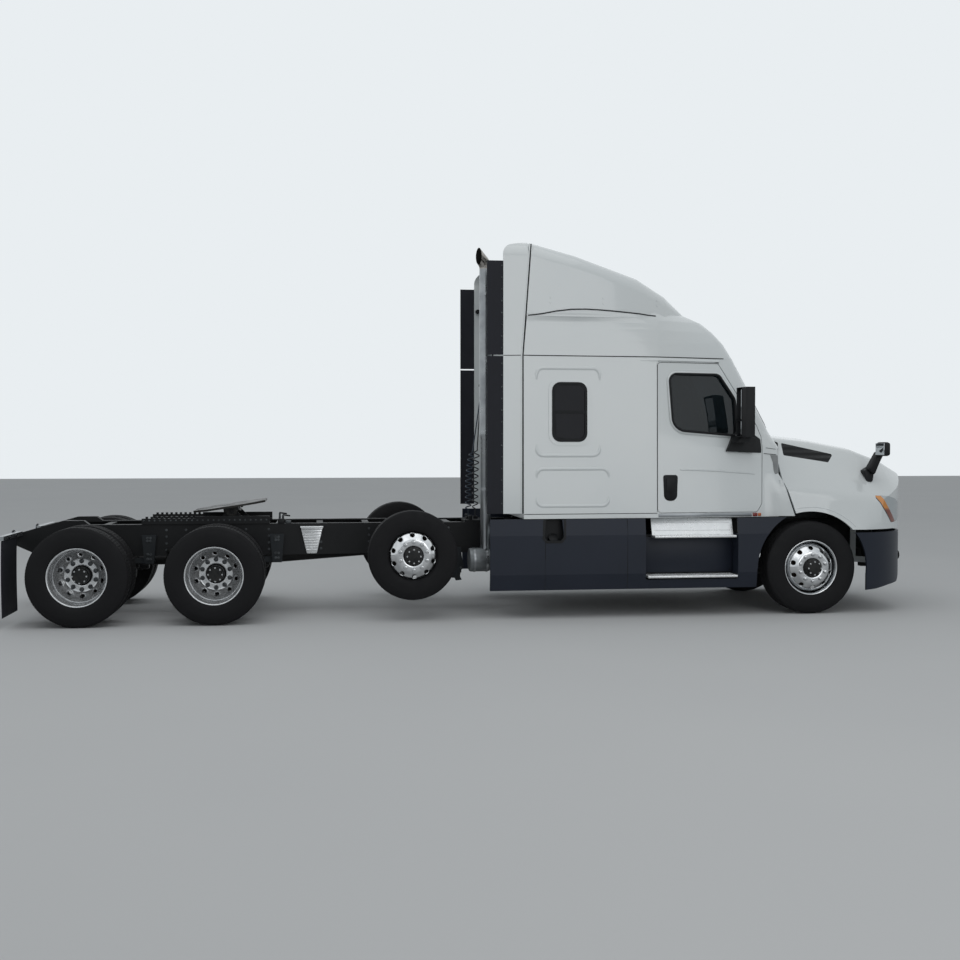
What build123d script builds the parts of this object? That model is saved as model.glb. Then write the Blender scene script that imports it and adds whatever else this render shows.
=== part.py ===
# A three-axle highway tractor with a raised lift axle, a sleeper cab and a sliding fifth wheel.
# X points forward, Y to the driver's left, Z up. The origin is on the ground at mid-length.
import os
from math import cos, radians, sin, tan

from build123d import *

os.makedirs("parts", exist_ok=True)

# Driving dimensions, all in millimetres
wheelbase = 6911
tandem_spacing = 1321
nose_overhang = 1285
tail_overhang = 1449
lift_axle_ahead = 2653
front_axle_x = (wheelbase + tail_overhang - nose_overhang) / 2
tandem_x = front_axle_x - wheelbase
tail_x = tandem_x - tail_overhang
nose_x = front_axle_x + nose_overhang
lift_axle_x = tandem_x + lift_axle_ahead
drive_axles = {"front": tandem_x + tandem_spacing / 2, "rear": tandem_x - tandem_spacing / 2}
sides = {"right": -1, "left": 1}
running_clearance = 0.05
seat_gap = 0.3

# Wheels and tyres
wheel_flats = 24
flat_turn = 180 / wheel_flats
tyre_radius = 500
tyre_width = 280
lift_tyre_radius = 464
lift_tyre_width = 255
shoulder = 20
sidewall_drop = 100
axle_z = tyre_radius * cos(radians(flat_turn))
lift_axle_z = 672
rim_radius = 298
rim_bore = 262
rim_width = 234
disc_offset = 168
disc_plate = 22
disc_radius = 172
hand_hole_radius = 27
hand_hole_circle = 214
hand_holes = 10
single_wheel_y = 1028
dual_face_y = 907
hub_radius = 95
hub_cap_reach = 58
drum_radius = 215
drum_wall = 22
drum_width = 115
drum_web = 15
spindle_radius = 42

# Frame
rail_y = 432
rail_top = 970
rail_depth = 330
rail_flange = 89
rail_plate = 12
rail_bottom = rail_top - rail_depth
web_inner_y = rail_y - rail_plate
rail_inner_y = rail_y - rail_flange
horn_front_x = front_axle_x + 1205
horn_rear_x = front_axle_x + 900
rail_front_x = front_axle_x + 1020
horn_bottom = 430
tail_taper = 514
tail_drop = 146
ramp_top = 1016
ramp_length = 780
hood_pivot = (front_axle_x + 1165, 500)
hood_pin_radius = 15
arm_span = (485, 500)

# Cab
cab_bottom = 1040
cowl_z = 1780
belt_z = 1940
seam_z = 2725
cab_wall = 60
door_thickness = 45
door_gap = 6
door_lip = 25
glass = 6
shell = 30
door_rear = -1688
cab_rear_x = front_axle_x - 3120


def side_points(points):
    """Side-view points given from the front axle, as points of the truck's frame."""
    return [(front_axle_x + x, z) for x, z in points]


def side_prism(points, inner, outer, radius=0, grow=0):
    """A prism across the right side of the truck, from a side-view outline."""
    with BuildPart() as prism:
        with BuildSketch(Plane.XZ.offset(inner)) as outline:
            with BuildLine():
                Polyline(side_points(points), close=True)
            make_face()
            if radius:
                fillet(outline.vertices(), radius)
            if grow:
                offset(amount=grow, kind=Kind.INTERSECTION)
        extrude(amount=outer - inner)
    return prism.part


def block(x_low, x_high, y_low, y_high, z_low, z_high):
    """A plain block between six faces."""
    with BuildPart() as solid:
        with BuildSketch(Plane.XY.offset(z_low)):
            with Locations(((x_low + x_high) / 2, (y_low + y_high) / 2)):
                Rectangle(abs(x_high - x_low), abs(y_high - y_low))
        extrude(amount=z_high - z_low)
    return solid.part


def both_sides(solid):
    """A right-hand piece and its mirror image, as two solids."""
    return [solid, mirror(solid, about=Plane.XZ, mode=Mode.PRIVATE)]


def on_side(solid, sign):
    """A right-hand piece, or its mirror image for the left."""
    return solid if sign < 0 else mirror(solid, about=Plane.XZ, mode=Mode.PRIVATE)


def save(part, name):
    """Label a finished piece and write it."""
    part.label = name
    export_step(part, f"parts/{name}.step")


# Wheels: flat-sided rings about an axis along Y, with a flat of each tyre on the ground


def wheel_plane(x, y, z, sign):
    """A plane at a wheel's middle that faces away from the truck."""
    return Plane(origin=(x, y, z), x_dir=(1, 0, 0), z_dir=(0, sign, 0))


def lathe(plane, profile, radial_flats=wheel_flats):
    """A flat-sided turning: frustums between (offset along the axis, radius) pairs."""
    sketches = []
    for along, radius in profile:
        with BuildSketch(plane.offset(along)) as ring:
            RegularPolygon(radius, radial_flats, rotation=flat_turn)
        sketches.append(ring.sketch)
    with BuildPart() as turned:
        loft(sketches, ruled=True)
    return turned.part


def tyre(plane, radius, width):
    """A tyre round the rim, its beads tapering in to the rim's edges."""
    half = width / 2
    wall_radius = radius - sidewall_drop
    outer = [(-half, wall_radius), (shoulder - half, radius), (half - shoulder, radius), (half, wall_radius)]
    bead = [(rim_width / 2, rim_radius), (half, wall_radius - 5)]
    with BuildPart() as ring:
        add(lathe(plane, outer))
        add(lathe(plane, [(-half, rim_radius), (half, rim_radius)]), mode=Mode.SUBTRACT)
        for toward in (1, -1):
            cone = [(toward * along, cone_radius) for along, cone_radius in bead]
            add(lathe(plane, cone), mode=Mode.SUBTRACT)
    return ring.part


def disc_wheel(plane):
    """A rim with a dished disc and hand holes, bolted up at its offset face."""
    half = rim_width / 2
    root = 40
    with BuildPart() as wheel:
        add(lathe(plane, [(-half, rim_radius), (half, rim_radius)]))
        add(lathe(plane, [(-half, rim_bore), (half, rim_bore)]), mode=Mode.SUBTRACT)
        add(lathe(plane, [(root, rim_bore + 4), (disc_offset, disc_radius)]))
        inner = [(root, rim_bore - disc_plate), (disc_offset - disc_plate, disc_radius - disc_plate)]
        add(lathe(plane, inner), mode=Mode.SUBTRACT)
        with BuildSketch(plane.offset(root)):
            with PolarLocations(hand_hole_circle, hand_holes):
                RegularPolygon(hand_hole_radius, 6)
        extrude(amount=disc_offset - root, mode=Mode.SUBTRACT)
    return wheel.part


def hub(plane, face, cap, drum_start, bore_radius, bore_end):
    """A hub through the disc with its drum behind, bored for the spindle."""
    drum_end = drum_start + drum_width
    with BuildPart() as turned:
        add(lathe(plane, [(drum_start, drum_radius), (drum_end, drum_radius)]))
        hollow = drum_radius - drum_wall
        add(lathe(plane, [(drum_start, hollow), (drum_end - drum_web, hollow)]), mode=Mode.SUBTRACT)
        add(lathe(plane, [(drum_start, hub_radius), (face + cap / 2, hub_radius)], 12))
        add(lathe(plane, [(face, hub_radius * 0.8), (face + cap, hub_radius * 0.8)], 12))
        with BuildSketch(plane.offset(drum_start)):
            Circle(bore_radius)
        extrude(amount=bore_end - drum_start, mode=Mode.SUBTRACT)
    return turned.part


def placed(form, x, z, sign):
    """A right-hand wheel form set on its axle, mirrored for the left."""
    with BuildPart() as piece:
        with Locations((x, 0, z)):
            add(on_side(form, sign))
    return piece.part


axle_plane = wheel_plane(0, 0, 0, -1)
bore_radius = spindle_radius + running_clearance
single_drum_y = 925
single_hub_end = 1160
single_plane = axle_plane.offset(single_wheel_y)
with BuildPart() as single_rim:
    add(disc_wheel(single_plane))
    face_y = single_wheel_y + disc_offset
    add(hub(axle_plane, face_y, hub_cap_reach, single_drum_y, bore_radius, single_hub_end))
single_axles = {"front": (front_axle_x, axle_z, tyre_radius, tyre_width)}
single_axles["lift"] = (lift_axle_x, lift_axle_z, lift_tyre_radius, lift_tyre_width)
for axle, (x, z, radius, width) in single_axles.items():
    form = tyre(single_plane, radius, width)
    for side, sign in sides.items():
        save(placed(form, x, z, sign), f"tyre_{axle}_{side}")
        save(placed(single_rim.part, x, z, sign), f"rim_{axle}_{side}")

dual_drum_y = 660
dual_hub_end = 1030
dual_hub_reach = 150
dual_planes = (
    axle_plane.offset(dual_face_y - disc_offset),
    wheel_plane(0, -dual_face_y - disc_offset, 0, 1),
)
with BuildPart() as dual_tyres:
    for plane in dual_planes:
        add(tyre(plane, tyre_radius, tyre_width))
with BuildPart() as dual_rims:
    for plane in dual_planes:
        add(disc_wheel(plane))
    add(hub(axle_plane, dual_face_y, dual_hub_reach, dual_drum_y, bore_radius, dual_hub_end))
    with BuildSketch(axle_plane.offset(dual_drum_y)):
        Circle(bore_radius)
    extrude(amount=dual_hub_end - dual_drum_y, mode=Mode.SUBTRACT)
for axle, x in drive_axles.items():
    for side, sign in sides.items():
        save(placed(dual_tyres.part, x, axle_z, sign), f"tyres_drive_{axle}_{side}")
        save(placed(dual_rims.part, x, axle_z, sign), f"rims_drive_{axle}_{side}")

# Frame rails: channels with a drop horn in front and a tapered tail with pick-up ramps
with BuildPart() as rail:
    with BuildSketch(Plane.YZ.offset(tail_x)):
        with BuildLine():
            Polyline(
                (-rail_y, rail_bottom),
                (-rail_y, rail_top),
                (-rail_inner_y, rail_top),
                (-rail_inner_y, rail_top - rail_plate),
                (-web_inner_y, rail_top - rail_plate),
                (-web_inner_y, rail_bottom + rail_plate),
                (-rail_inner_y, rail_bottom + rail_plate),
                (-rail_inner_y, rail_bottom),
                close=True,
            )
        make_face()
    extrude(amount=rail_front_x - tail_x)
    add(block(horn_rear_x, horn_front_x, -rail_y, -rail_inner_y, horn_bottom, rail_bottom + 60))
    ramp_front = tail_x + ramp_length
    with BuildSketch(Plane.XZ.offset(rail_inner_y)):
        with BuildLine():
            Polyline(
                (tail_x, rail_top - tail_drop),
                (tail_x, rail_bottom + tail_drop),
                (tail_x + tail_taper, rail_top),
                (ramp_front, rail_top),
                (ramp_front - 60, ramp_top),
                (tail_x + tail_taper, ramp_top),
                (tail_x, rail_top - tail_drop + 46),
                close=True,
            )
        make_face()
    extrude(amount=rail_flange)
    with BuildSketch(Plane.XZ.offset(rail_inner_y - 1)):
        with BuildLine():
            Polyline(
                (tail_x - 1, rail_top + 200),
                (tail_x - 1, rail_top - tail_drop + 46),
                (tail_x, rail_top - tail_drop + 46),
                (tail_x + tail_taper, ramp_top),
                (tail_x + tail_taper, rail_top + 200),
                close=True,
            )
        make_face()
    extrude(amount=rail_flange + 2, mode=Mode.SUBTRACT)
    with BuildSketch(Plane.XZ.offset(rail_inner_y - 1)):
        with BuildLine():
            Polyline(
                (tail_x - 1, rail_bottom - 1),
                (tail_x + tail_taper * 0.6, rail_bottom - 1),
                (tail_x - 1, rail_bottom + tail_drop),
                close=True,
            )
        make_face()
    extrude(amount=rail_flange + 2, mode=Mode.SUBTRACT)
with BuildPart() as hood_pin:
    with BuildSketch(Plane.XZ.offset(rail_y)):
        with Locations(hood_pivot):
            Circle(hood_pin_radius)
    extrude(amount=arm_span[1] - rail_y + 5)
with BuildPart() as frame_rails:
    add(both_sides(rail.part))
    add(both_sides(hood_pin.part))
save(frame_rails.part, "frame_rails")

# Crossmembers between the webs, with the cab's mounts standing on the rails
crossmember_depth = 140
crossmember_length = 70
high_crossmembers = [-1850, -2350, -3050, -3800, -4700, -5200, -5640, -6940, -7450]
low_crossmembers = {"radiator": 760, "engine": -260, "gearbox": -1180}
end_crossmembers = {"front": 1140, "tail": -8050}
engine_bottom = rail_bottom + 40
cab_mounts = [-700, -2900]
with BuildPart() as crossmembers:
    for place in high_crossmembers:
        x = front_axle_x + place
        top = rail_top - rail_plate
        add(block(x - crossmember_length / 2, x + crossmember_length / 2,
                  -web_inner_y, web_inner_y, top - crossmember_depth, top))
    for place in low_crossmembers.values():
        x = front_axle_x + place
        low = rail_bottom + rail_plate
        add(block(x - crossmember_length / 2, x + crossmember_length / 2,
                  -web_inner_y, web_inner_y, low, engine_bottom))
    x = front_axle_x + end_crossmembers["tail"]
    add(block(x - 35, x + 35, -rail_inner_y, rail_inner_y, rail_bottom + 180, rail_top - rail_plate))
    x = front_axle_x + end_crossmembers["front"]
    add(block(x - 40, x + 40, -rail_inner_y, rail_inner_y, horn_bottom + 20, horn_bottom + 150))
    for place in cab_mounts:
        x = front_axle_x + place
        foot = block(x - 90, x + 90, -rail_y, -rail_inner_y, rail_top, rail_top + 12)
        column = block(x - 45, x + 45, -rail_y + 10, -rail_inner_y - 10, rail_top + 12, cab_bottom)
        for solid in (foot, column):
            add(both_sides(solid))
save(crossmembers.part, "crossmembers")

# Engine, gearbox and radiator as plain heavy blocks
engine_front = 560
radiator_span = (650, 800)
firewall_gap = 35
with BuildPart() as powertrain:
    add(block(front_axle_x - 820, front_axle_x + engine_front, -300, 300, engine_bottom, cab_bottom - 40))
    firewall_x = front_axle_x - 330 + 135
    add(block(firewall_x + firewall_gap, front_axle_x + engine_front, -300, 300, cab_bottom - 40, 1620))
    add(block(front_axle_x - 1650, front_axle_x - 820, -230, 230, engine_bottom, rail_top))
    for place in (-520, 250):
        x = front_axle_x + place
        add(block(x - 60, x + 60, -web_inner_y, web_inner_y, engine_bottom + 40, engine_bottom + 160))
    add(block(front_axle_x + radiator_span[0], front_axle_x + radiator_span[1],
              -330, 330, engine_bottom, 1480))
save(powertrain.part, "powertrain")

# Steer axle: a forged beam that drops in the middle, with leaf springs on it
kingpin_y = 850
kingpin_radius = 22
boss_radius = 40
boss_low = axle_z - 58
boss_high = axle_z + 58
beam_width = 90
beam_drop = 88
beam_top = axle_z - beam_drop
with BuildPart() as front_axle:
    with BuildSketch(Plane.YZ.offset(front_axle_x - beam_width / 2)):
        with BuildLine():
            Polyline(
                (-kingpin_y, boss_low),
                (-640, boss_low),
                (-520, beam_top - 100),
                (520, beam_top - 100),
                (640, boss_low),
                (kingpin_y, boss_low),
                (kingpin_y, boss_high),
                (690, boss_high),
                (540, beam_top),
                (-540, beam_top),
                (-690, boss_high),
                (-kingpin_y, boss_high),
                close=True,
            )
        make_face()
    extrude(amount=beam_width)
    for sign in sides.values():
        with BuildSketch(Plane.XY.offset(boss_low)):
            with Locations((front_axle_x, sign * (kingpin_y + 100))):
                Rectangle(beam_width + 2, 200)
        extrude(amount=boss_high - boss_low, mode=Mode.SUBTRACT)
        with BuildSketch(Plane.XY.offset(boss_low)):
            with Locations((front_axle_x, sign * kingpin_y)):
                Circle(boss_radius)
        extrude(amount=boss_high - boss_low)
        with BuildSketch(Plane.XY.offset(boss_low)):
            with Locations((front_axle_x, sign * kingpin_y)):
                Circle(kingpin_radius + running_clearance)
        extrude(amount=boss_high - boss_low, mode=Mode.SUBTRACT)
save(front_axle.part, "front_axle")

spring_y = (380, 460)
spring_stack = 34
spring_seat = 20
spring_front = 660
spring_rear = -760
eye_z = rail_bottom - 60
with BuildPart() as spring:
    with BuildSketch(Plane.XZ.offset(spring_y[0])):
        with BuildLine():
            low = ThreePointArc(
                (front_axle_x + spring_front, eye_z - spring_stack / 2),
                (front_axle_x, beam_top + spring_seat / 2),
                (front_axle_x + spring_rear, eye_z - spring_stack / 2),
            )
            high = ThreePointArc(
                (front_axle_x + spring_rear, eye_z + spring_stack / 2),
                (front_axle_x, beam_top + spring_stack * 1.6),
                (front_axle_x + spring_front, eye_z + spring_stack / 2),
            )
            Line(low @ 1, high @ 0)
            Line(high @ 1, low @ 0)
        make_face()
    extrude(amount=spring_y[1] - spring_y[0])
    add(block(front_axle_x - 60, front_axle_x + 60, -spring_y[1], -spring_y[0], beam_top, beam_top + spring_seat))
    for place in (spring_front, spring_rear):
        x = front_axle_x + place
        add(block(x - 40, x + 40, -spring_y[1], -spring_y[0], eye_z - 35, rail_bottom))
with BuildPart() as front_springs:
    add(both_sides(spring.part))
save(front_springs.part, "front_springs")

# Knuckles: two ears round each kingpin, a spindle, and an arm to the tie rod
ear = 60
web_low_y = 897
arm_length = 200
arm_z = boss_low - seat_gap - ear
rod_radius = 20
rod_z = arm_z - 30
for side, sign in sides.items():
    with BuildPart() as knuckle:
        for low, high in ((boss_high + seat_gap, boss_high + ear), (arm_z, boss_low - seat_gap)):
            with BuildSketch(Plane.XY.offset(low)):
                with Locations((front_axle_x, sign * kingpin_y)):
                    Circle(boss_radius + 8)
                with Locations((front_axle_x, sign * (kingpin_y + single_drum_y) / 2)):
                    Rectangle(beam_width, single_drum_y - kingpin_y)
            extrude(amount=high - low)
        with BuildSketch(Plane.XY.offset(arm_z)):
            with Locations((front_axle_x, sign * (web_low_y + single_drum_y) / 2)):
                Rectangle(beam_width + 20, single_drum_y - web_low_y - seat_gap)
        extrude(amount=boss_high + ear - arm_z)
        with BuildSketch(Plane.XY.offset(arm_z + 20)):
            with Locations((front_axle_x, sign * kingpin_y)):
                Circle(kingpin_radius)
        extrude(amount=boss_high + ear - arm_z - 20)
        with BuildSketch(wheel_plane(front_axle_x, 0, axle_z, sign).offset(single_drum_y - 15)):
            Circle(spindle_radius)
        extrude(amount=single_hub_end - single_drum_y + 14)
        add(block(front_axle_x - arm_length - 35, front_axle_x, sign * (kingpin_y - 28),
                  sign * (kingpin_y + 28), arm_z, arm_z + 34))
        with BuildSketch(Plane.XY.offset(rod_z - 26)):
            with Locations((front_axle_x - arm_length, sign * kingpin_y)):
                Circle(13)
        extrude(amount=arm_z - rod_z + 26)
    save(knuckle.part, f"knuckle_{side}")

with BuildPart() as tie_rod:
    with BuildSketch(Plane.XZ.offset(-kingpin_y + 30)):
        with Locations((front_axle_x - arm_length, rod_z)):
            Circle(rod_radius)
    extrude(amount=2 * kingpin_y - 60)
    for sign in sides.values():
        with BuildSketch(Plane.XY.offset(rod_z - 24)):
            with Locations((front_axle_x - arm_length, sign * kingpin_y)):
                Circle(34)
        extrude(amount=48)
        with BuildSketch(Plane.XY.offset(rod_z - 24)):
            with Locations((front_axle_x - arm_length, sign * kingpin_y)):
                Circle(13 + running_clearance * (1 if sign < 0 else 6))
        extrude(amount=48, mode=Mode.SUBTRACT)
save(tie_rod.part, "tie_rod")

# Drive axles: housings with a round bowl, a pinion nose and a shaft between them
housing_radius = 78
bowl_radius = 215
bowl_width = 260
pinion_reach = 430
shaft_radius = 52
shaft_z = 560
with BuildPart() as drive_axle_set:
    for x in drive_axles.values():
        for sign in sides.values():
            centre = wheel_plane(x, 0, axle_z, sign)
            with BuildSketch(centre):
                Circle(housing_radius)
            extrude(amount=dual_drum_y - 25)
            with BuildSketch(centre.offset(dual_drum_y - 25)):
                Circle(spindle_radius)
            extrude(amount=dual_hub_end - dual_drum_y + 24)
        add(lathe(wheel_plane(x, -bowl_width / 2, axle_z, 1),
                  [(0, bowl_radius * 0.7), (bowl_width * 0.3, bowl_radius),
                   (bowl_width * 0.7, bowl_radius), (bowl_width, bowl_radius * 0.7)], 16))
        with BuildSketch(Plane.YZ.offset(x)):
            with Locations((0, shaft_z)):
                Circle(shaft_radius * 1.7)
        extrude(amount=pinion_reach)
    shaft_start = drive_axles["rear"] + pinion_reach
    with BuildSketch(Plane.YZ.offset(shaft_start)):
        with Locations((0, shaft_z)):
            Circle(shaft_radius)
    extrude(amount=drive_axles["front"] - bowl_radius * 0.6 - shaft_start)

# The driveshaft comes down from the gearbox in two lengths, with a hung bearing where they meet
gearbox_rear_x = front_axle_x - 1650
shaft_high_z = 760
yoke_length = 70
shaft_ends = {
    "gearbox": Vector(gearbox_rear_x - 5, 0, shaft_high_z),
    "bearing": Vector(front_axle_x - 3800, 0, 700),
    "axle": Vector(drive_axles["front"] + pinion_reach, 0, shaft_z),
}


def shaft_length(low, high):
    """A round shaft between two of the driveshaft's places."""
    low, high = shaft_ends[low], shaft_ends[high]
    return Cylinder(shaft_radius, (high - low).length, align=(Align.CENTER, Align.CENTER, Align.MIN)).moved(
        Plane(origin=low, z_dir=(high - low).normalized()).location
    )


def yoke(x, z, toward):
    """The round yoke that bolts a shaft's end on."""
    turned = Plane(origin=(x, 0, z), z_dir=(toward, 0, 0)).location
    return Cylinder(shaft_radius * 1.4, yoke_length, align=(Align.CENTER, Align.CENTER, Align.MIN)).moved(turned)


bearing_x, bearing_z = shaft_ends["bearing"].X, shaft_ends["bearing"].Z
hung_bearing = block(bearing_x - 40, bearing_x + 40, -90, 90, bearing_z, rail_top - rail_plate - crossmember_depth)
rear_shaft = shaft_length("axle", "bearing") + yoke(shaft_ends["axle"].X, shaft_z, 1) + hung_bearing
rear_shaft = rear_shaft - drive_axle_set.part
front_shaft = shaft_length("bearing", "gearbox") + yoke(gearbox_rear_x, shaft_high_z, -1)
front_shaft = front_shaft - rear_shaft
save(Compound([drive_axle_set.part.solid(), rear_shaft.solid(), front_shaft.solid()]), "drive_axles")

# Tandem air suspension: hangers outside the rails, arms over the axles, air springs behind
hanger_ahead = 600
hanger_top = 860
hanger_pad = 46
arm_y = (372, 432)
air_spring_radius = 115
air_spring_behind = 440
housing_top = axle_z + housing_radius
arm_high = rail_bottom - 20


def rear_hanger(x):
    """A hanger outside the right rail, its trailing arm over the axle and its air spring."""
    hanger_x = x + hanger_ahead
    with BuildPart() as hanger:
        with BuildSketch(Plane.XZ.offset(rail_y)):
            with BuildLine():
                Polyline(
                    (hanger_x - 75, hanger_top),
                    (hanger_x + 75, hanger_top),
                    (hanger_x + 48, 560),
                    (hanger_x - 48, 560),
                    close=True,
                )
            make_face()
        extrude(amount=hanger_pad)
        add(block(hanger_x - 48, hanger_x + 48, -rail_y, -arm_y[0], 560, rail_bottom))
        with BuildSketch(Plane.XZ.offset(arm_y[0])):
            with BuildLine():
                Polyline(
                    (hanger_x, arm_high),
                    (x - 120, arm_high),
                    (x - 260, arm_high - 110),
                    (x - air_spring_behind - 110, arm_high - 160),
                    (x - air_spring_behind - 110, arm_high - 210),
                    (x - 230, arm_high - 170),
                    (x - 100, housing_top),
                    (x + 100, housing_top),
                    (hanger_x, housing_top - 15),
                    close=True,
                )
            make_face()
        extrude(amount=arm_y[1] - arm_y[0])
        with BuildSketch(Plane.XY.offset(arm_high - 160)):
            with Locations((x - air_spring_behind, -(arm_y[0] + arm_y[1]) / 2)):
                RegularPolygon(air_spring_radius, 12)
        extrude(amount=rail_bottom - arm_high + 160)
    return hanger.part


hangers = [rear_hanger(x) for x in drive_axles.values()]
with BuildPart() as suspension:
    for hanger in hangers:
        add(both_sides(hanger))
save(suspension.part, "rear_suspension")

# Lift axle: a beam dropped under the driveshaft, hung from the rails by arms
lift_beam = 110
lift_beam_z = 430
lift_hanger = 520
lift_hanger_x = lift_axle_x + lift_hanger
with BuildPart() as lift_arm:
    add(block(lift_hanger_x - 60, lift_hanger_x + 60, -rail_y, -rail_inner_y, 420, rail_bottom))
    with BuildSketch(Plane.XZ.offset((rail_inner_y + rail_y) / 2)):
        with BuildLine():
            Polyline(
                (lift_hanger_x, 520),
                (lift_hanger_x, 430),
                (lift_axle_x + 30, lift_beam_z - 40),
                (lift_axle_x + 30, lift_beam_z + 50),
                close=True,
            )
        make_face()
    extrude(amount=30, both=True)
    with BuildSketch(Plane.XY.offset(lift_beam_z + 55)):
        with Locations((lift_axle_x, -(rail_inner_y + rail_y) / 2)):
            RegularPolygon(70, 12)
    extrude(amount=rail_bottom - lift_beam_z - 55)
with BuildPart() as lift_axle:
    with BuildSketch(Plane.YZ.offset(lift_axle_x - lift_beam / 2)):
        with BuildLine():
            Polyline(
                (-840, lift_axle_z - 55),
                (-560, lift_axle_z - 55),
                (-420, lift_beam_z - 55),
                (420, lift_beam_z - 55),
                (560, lift_axle_z - 55),
                (840, lift_axle_z - 55),
                (840, lift_axle_z + 55),
                (600, lift_axle_z + 55),
                (460, lift_beam_z + 55),
                (-460, lift_beam_z + 55),
                (-600, lift_axle_z + 55),
                (-840, lift_axle_z + 55),
                close=True,
            )
        make_face()
    extrude(amount=lift_beam)
    for sign in sides.values():
        with BuildSketch(wheel_plane(lift_axle_x, 0, lift_axle_z, sign).offset(830)):
            Circle(spindle_radius)
        extrude(amount=single_hub_end - 831)
    add(both_sides(lift_arm.part))
save(lift_axle.part, "lift_axle")

# Cab levels: z, rear x, rear half width, half width at the door's rear edge, corner x, corner half
# width, centre x, corner radius; each x is from the front axle
cab_levels = [
    (cab_bottom, -3120, 1190, 1150, -330, 1075, -200, 40),
    (cowl_z, -3120, 1178, 1135, -330, 1045, -200, 60),
    (belt_z, -3120, 1176, 1132, -417, 985, -270, 140),
    (seam_z, -3120, 1165, 1120, -810, 930, -670, 140),
]
roof_levels = [
    (seam_z, -3120, 1165, 1120, -810, 930, -670, 140),
    (2881, -3108, 1163, 1115, -905, 912, -760, 140),
    (3005, -3097, 1160, 1108, -1020, 890, -860, 140),
    (3110, -3087, 1152, 1090, -1140, 850, -985, 140),
    (3184, -3081, 1130, 1050, -1290, 790, -1120, 140),
    (3240, -3076, 1070, 970, -1430, 690, -1270, 140),
    (3265, -3074, 960, 850, -1560, 560, -1420, 140),
]


def cab_plan(z, rear_x, rear_y, door_y, corner_x, corner_y, centre_x, corner_round, inset):
    """One level of the cab: a bowed front, tapering doors and a straight sleeper."""
    rear_x, corner_x, centre_x = [front_axle_x + x for x in (rear_x, corner_x, centre_x)]
    break_x = front_axle_x + door_rear
    with BuildSketch(Plane.XY.offset(z)) as level:
        with BuildLine():
            side = Polyline(
                (corner_x - inset, -corner_y + inset),
                (break_x, -door_y + inset),
                (rear_x + inset, -rear_y + inset),
                (rear_x + inset, rear_y - inset),
                (break_x, door_y - inset),
                (corner_x - inset, corner_y - inset),
            )
            ThreePointArc(side @ 1, (centre_x - inset, 0), side @ 0)
        make_face()
        front = level.vertices().group_by(Axis.X)[-1]
        fillet(front, max(corner_round - inset, 8))
    return level.sketch


def level_loft(levels, inset, floor=0, roof=0):
    """A straight-sided skin through the levels, drawn in all round by the inset."""
    sketches = []
    for index, level in enumerate(levels):
        z = level[0] + (floor if index == 0 else 0) - (roof if index == len(levels) - 1 else 0)
        sketches.append(cab_plan(z, *level[1:], inset))
    with BuildPart() as skin:
        loft(sketches, ruled=True)
    return skin.part


cab_outer = level_loft(cab_levels, 0)
cab_inner = level_loft(cab_levels, cab_wall, cab_wall)
door_inner = level_loft(cab_levels, door_thickness)
lip_outer = level_loft(cab_levels, door_thickness + seat_gap)
roof_outer = level_loft(roof_levels, 0)
roof_inner = level_loft(roof_levels, shell, 0, shell)
glass_outer = level_loft(cab_levels, 12)
glass_inner = level_loft(cab_levels, 12 + glass)

# Side-view outlines, from the front axle
door_outline = [(-581, 1094), (-530, 1180), (-520, 1900), (-560, 2010), (-985, 2668), (-1688, 2668), (-1688, 1094)]
door_window = [(-793, 1904), (-805, 2291), (-983, 2552), (-1560, 2552), (-1519, 2010), (-1400, 1951)]
sleeper_window = [(-2470, 1854), (-2470, 2434), (-2804, 2434), (-2804, 1854)]
cowl_side = [(-330, 1430), (-300, 1430), (-165, 1050), (-330, 1050)]
side_in = 700
side_out = 1300
door_corner = 40
window_corner = 45
door_hole = side_prism(door_outline, side_in, side_out, door_corner, door_gap)
door_form = side_prism(door_outline, side_in, side_out, door_corner)
door_seat = side_prism(door_outline, side_in, side_out, door_corner, -door_lip)
door_pane = side_prism(door_window, side_in, side_out, window_corner)
sleeper_pane = side_prism(sleeper_window, side_in, side_out, window_corner)

windscreen_low = belt_z + 45
windscreen_high = seam_z - 50
windscreen_half = (895, 800)
with BuildPart() as windscreen_prism:
    with BuildSketch(Plane.YZ.offset(front_axle_x - 1100)) as opening:
        with BuildLine():
            Polyline(
                (-windscreen_half[0], windscreen_low),
                (windscreen_half[0], windscreen_low),
                (windscreen_half[1], windscreen_high),
                (-windscreen_half[1], windscreen_high),
                close=True,
            )
        make_face()
        fillet(opening.vertices(), 60)
    extrude(amount=1200)

# Door opening of the right side: a full hole, with the lip left on its inner layer
cowl_flare = side_prism(cowl_side, 960, 1095)
with BuildPart() as opening_right:
    add(door_hole)
    add(lip_outer, mode=Mode.SUBTRACT)
with BuildPart() as cab_shell:
    add(cab_outer)
    add(both_sides(cowl_flare))
    add(cab_inner, mode=Mode.SUBTRACT)
    add(both_sides(opening_right.part), mode=Mode.SUBTRACT)
    add(both_sides(door_seat), mode=Mode.SUBTRACT)
    add(both_sides(sleeper_pane), mode=Mode.SUBTRACT)
    add(windscreen_prism.part, mode=Mode.SUBTRACT)
save(cab_shell.part, "cab_shell")

with BuildPart() as panes:
    add(both_sides(sleeper_pane))
    add(windscreen_prism.part)
with BuildPart() as cab_glass:
    add(glass_outer)
    add(glass_inner, mode=Mode.SUBTRACT)
    add(panes.part, mode=Mode.INTERSECT)
save(cab_glass.part, "cab_glass")

with BuildPart() as cab_roof:
    add(roof_outer)
    add(roof_inner, mode=Mode.SUBTRACT)
save(cab_roof.part, "cab_roof")

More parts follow.
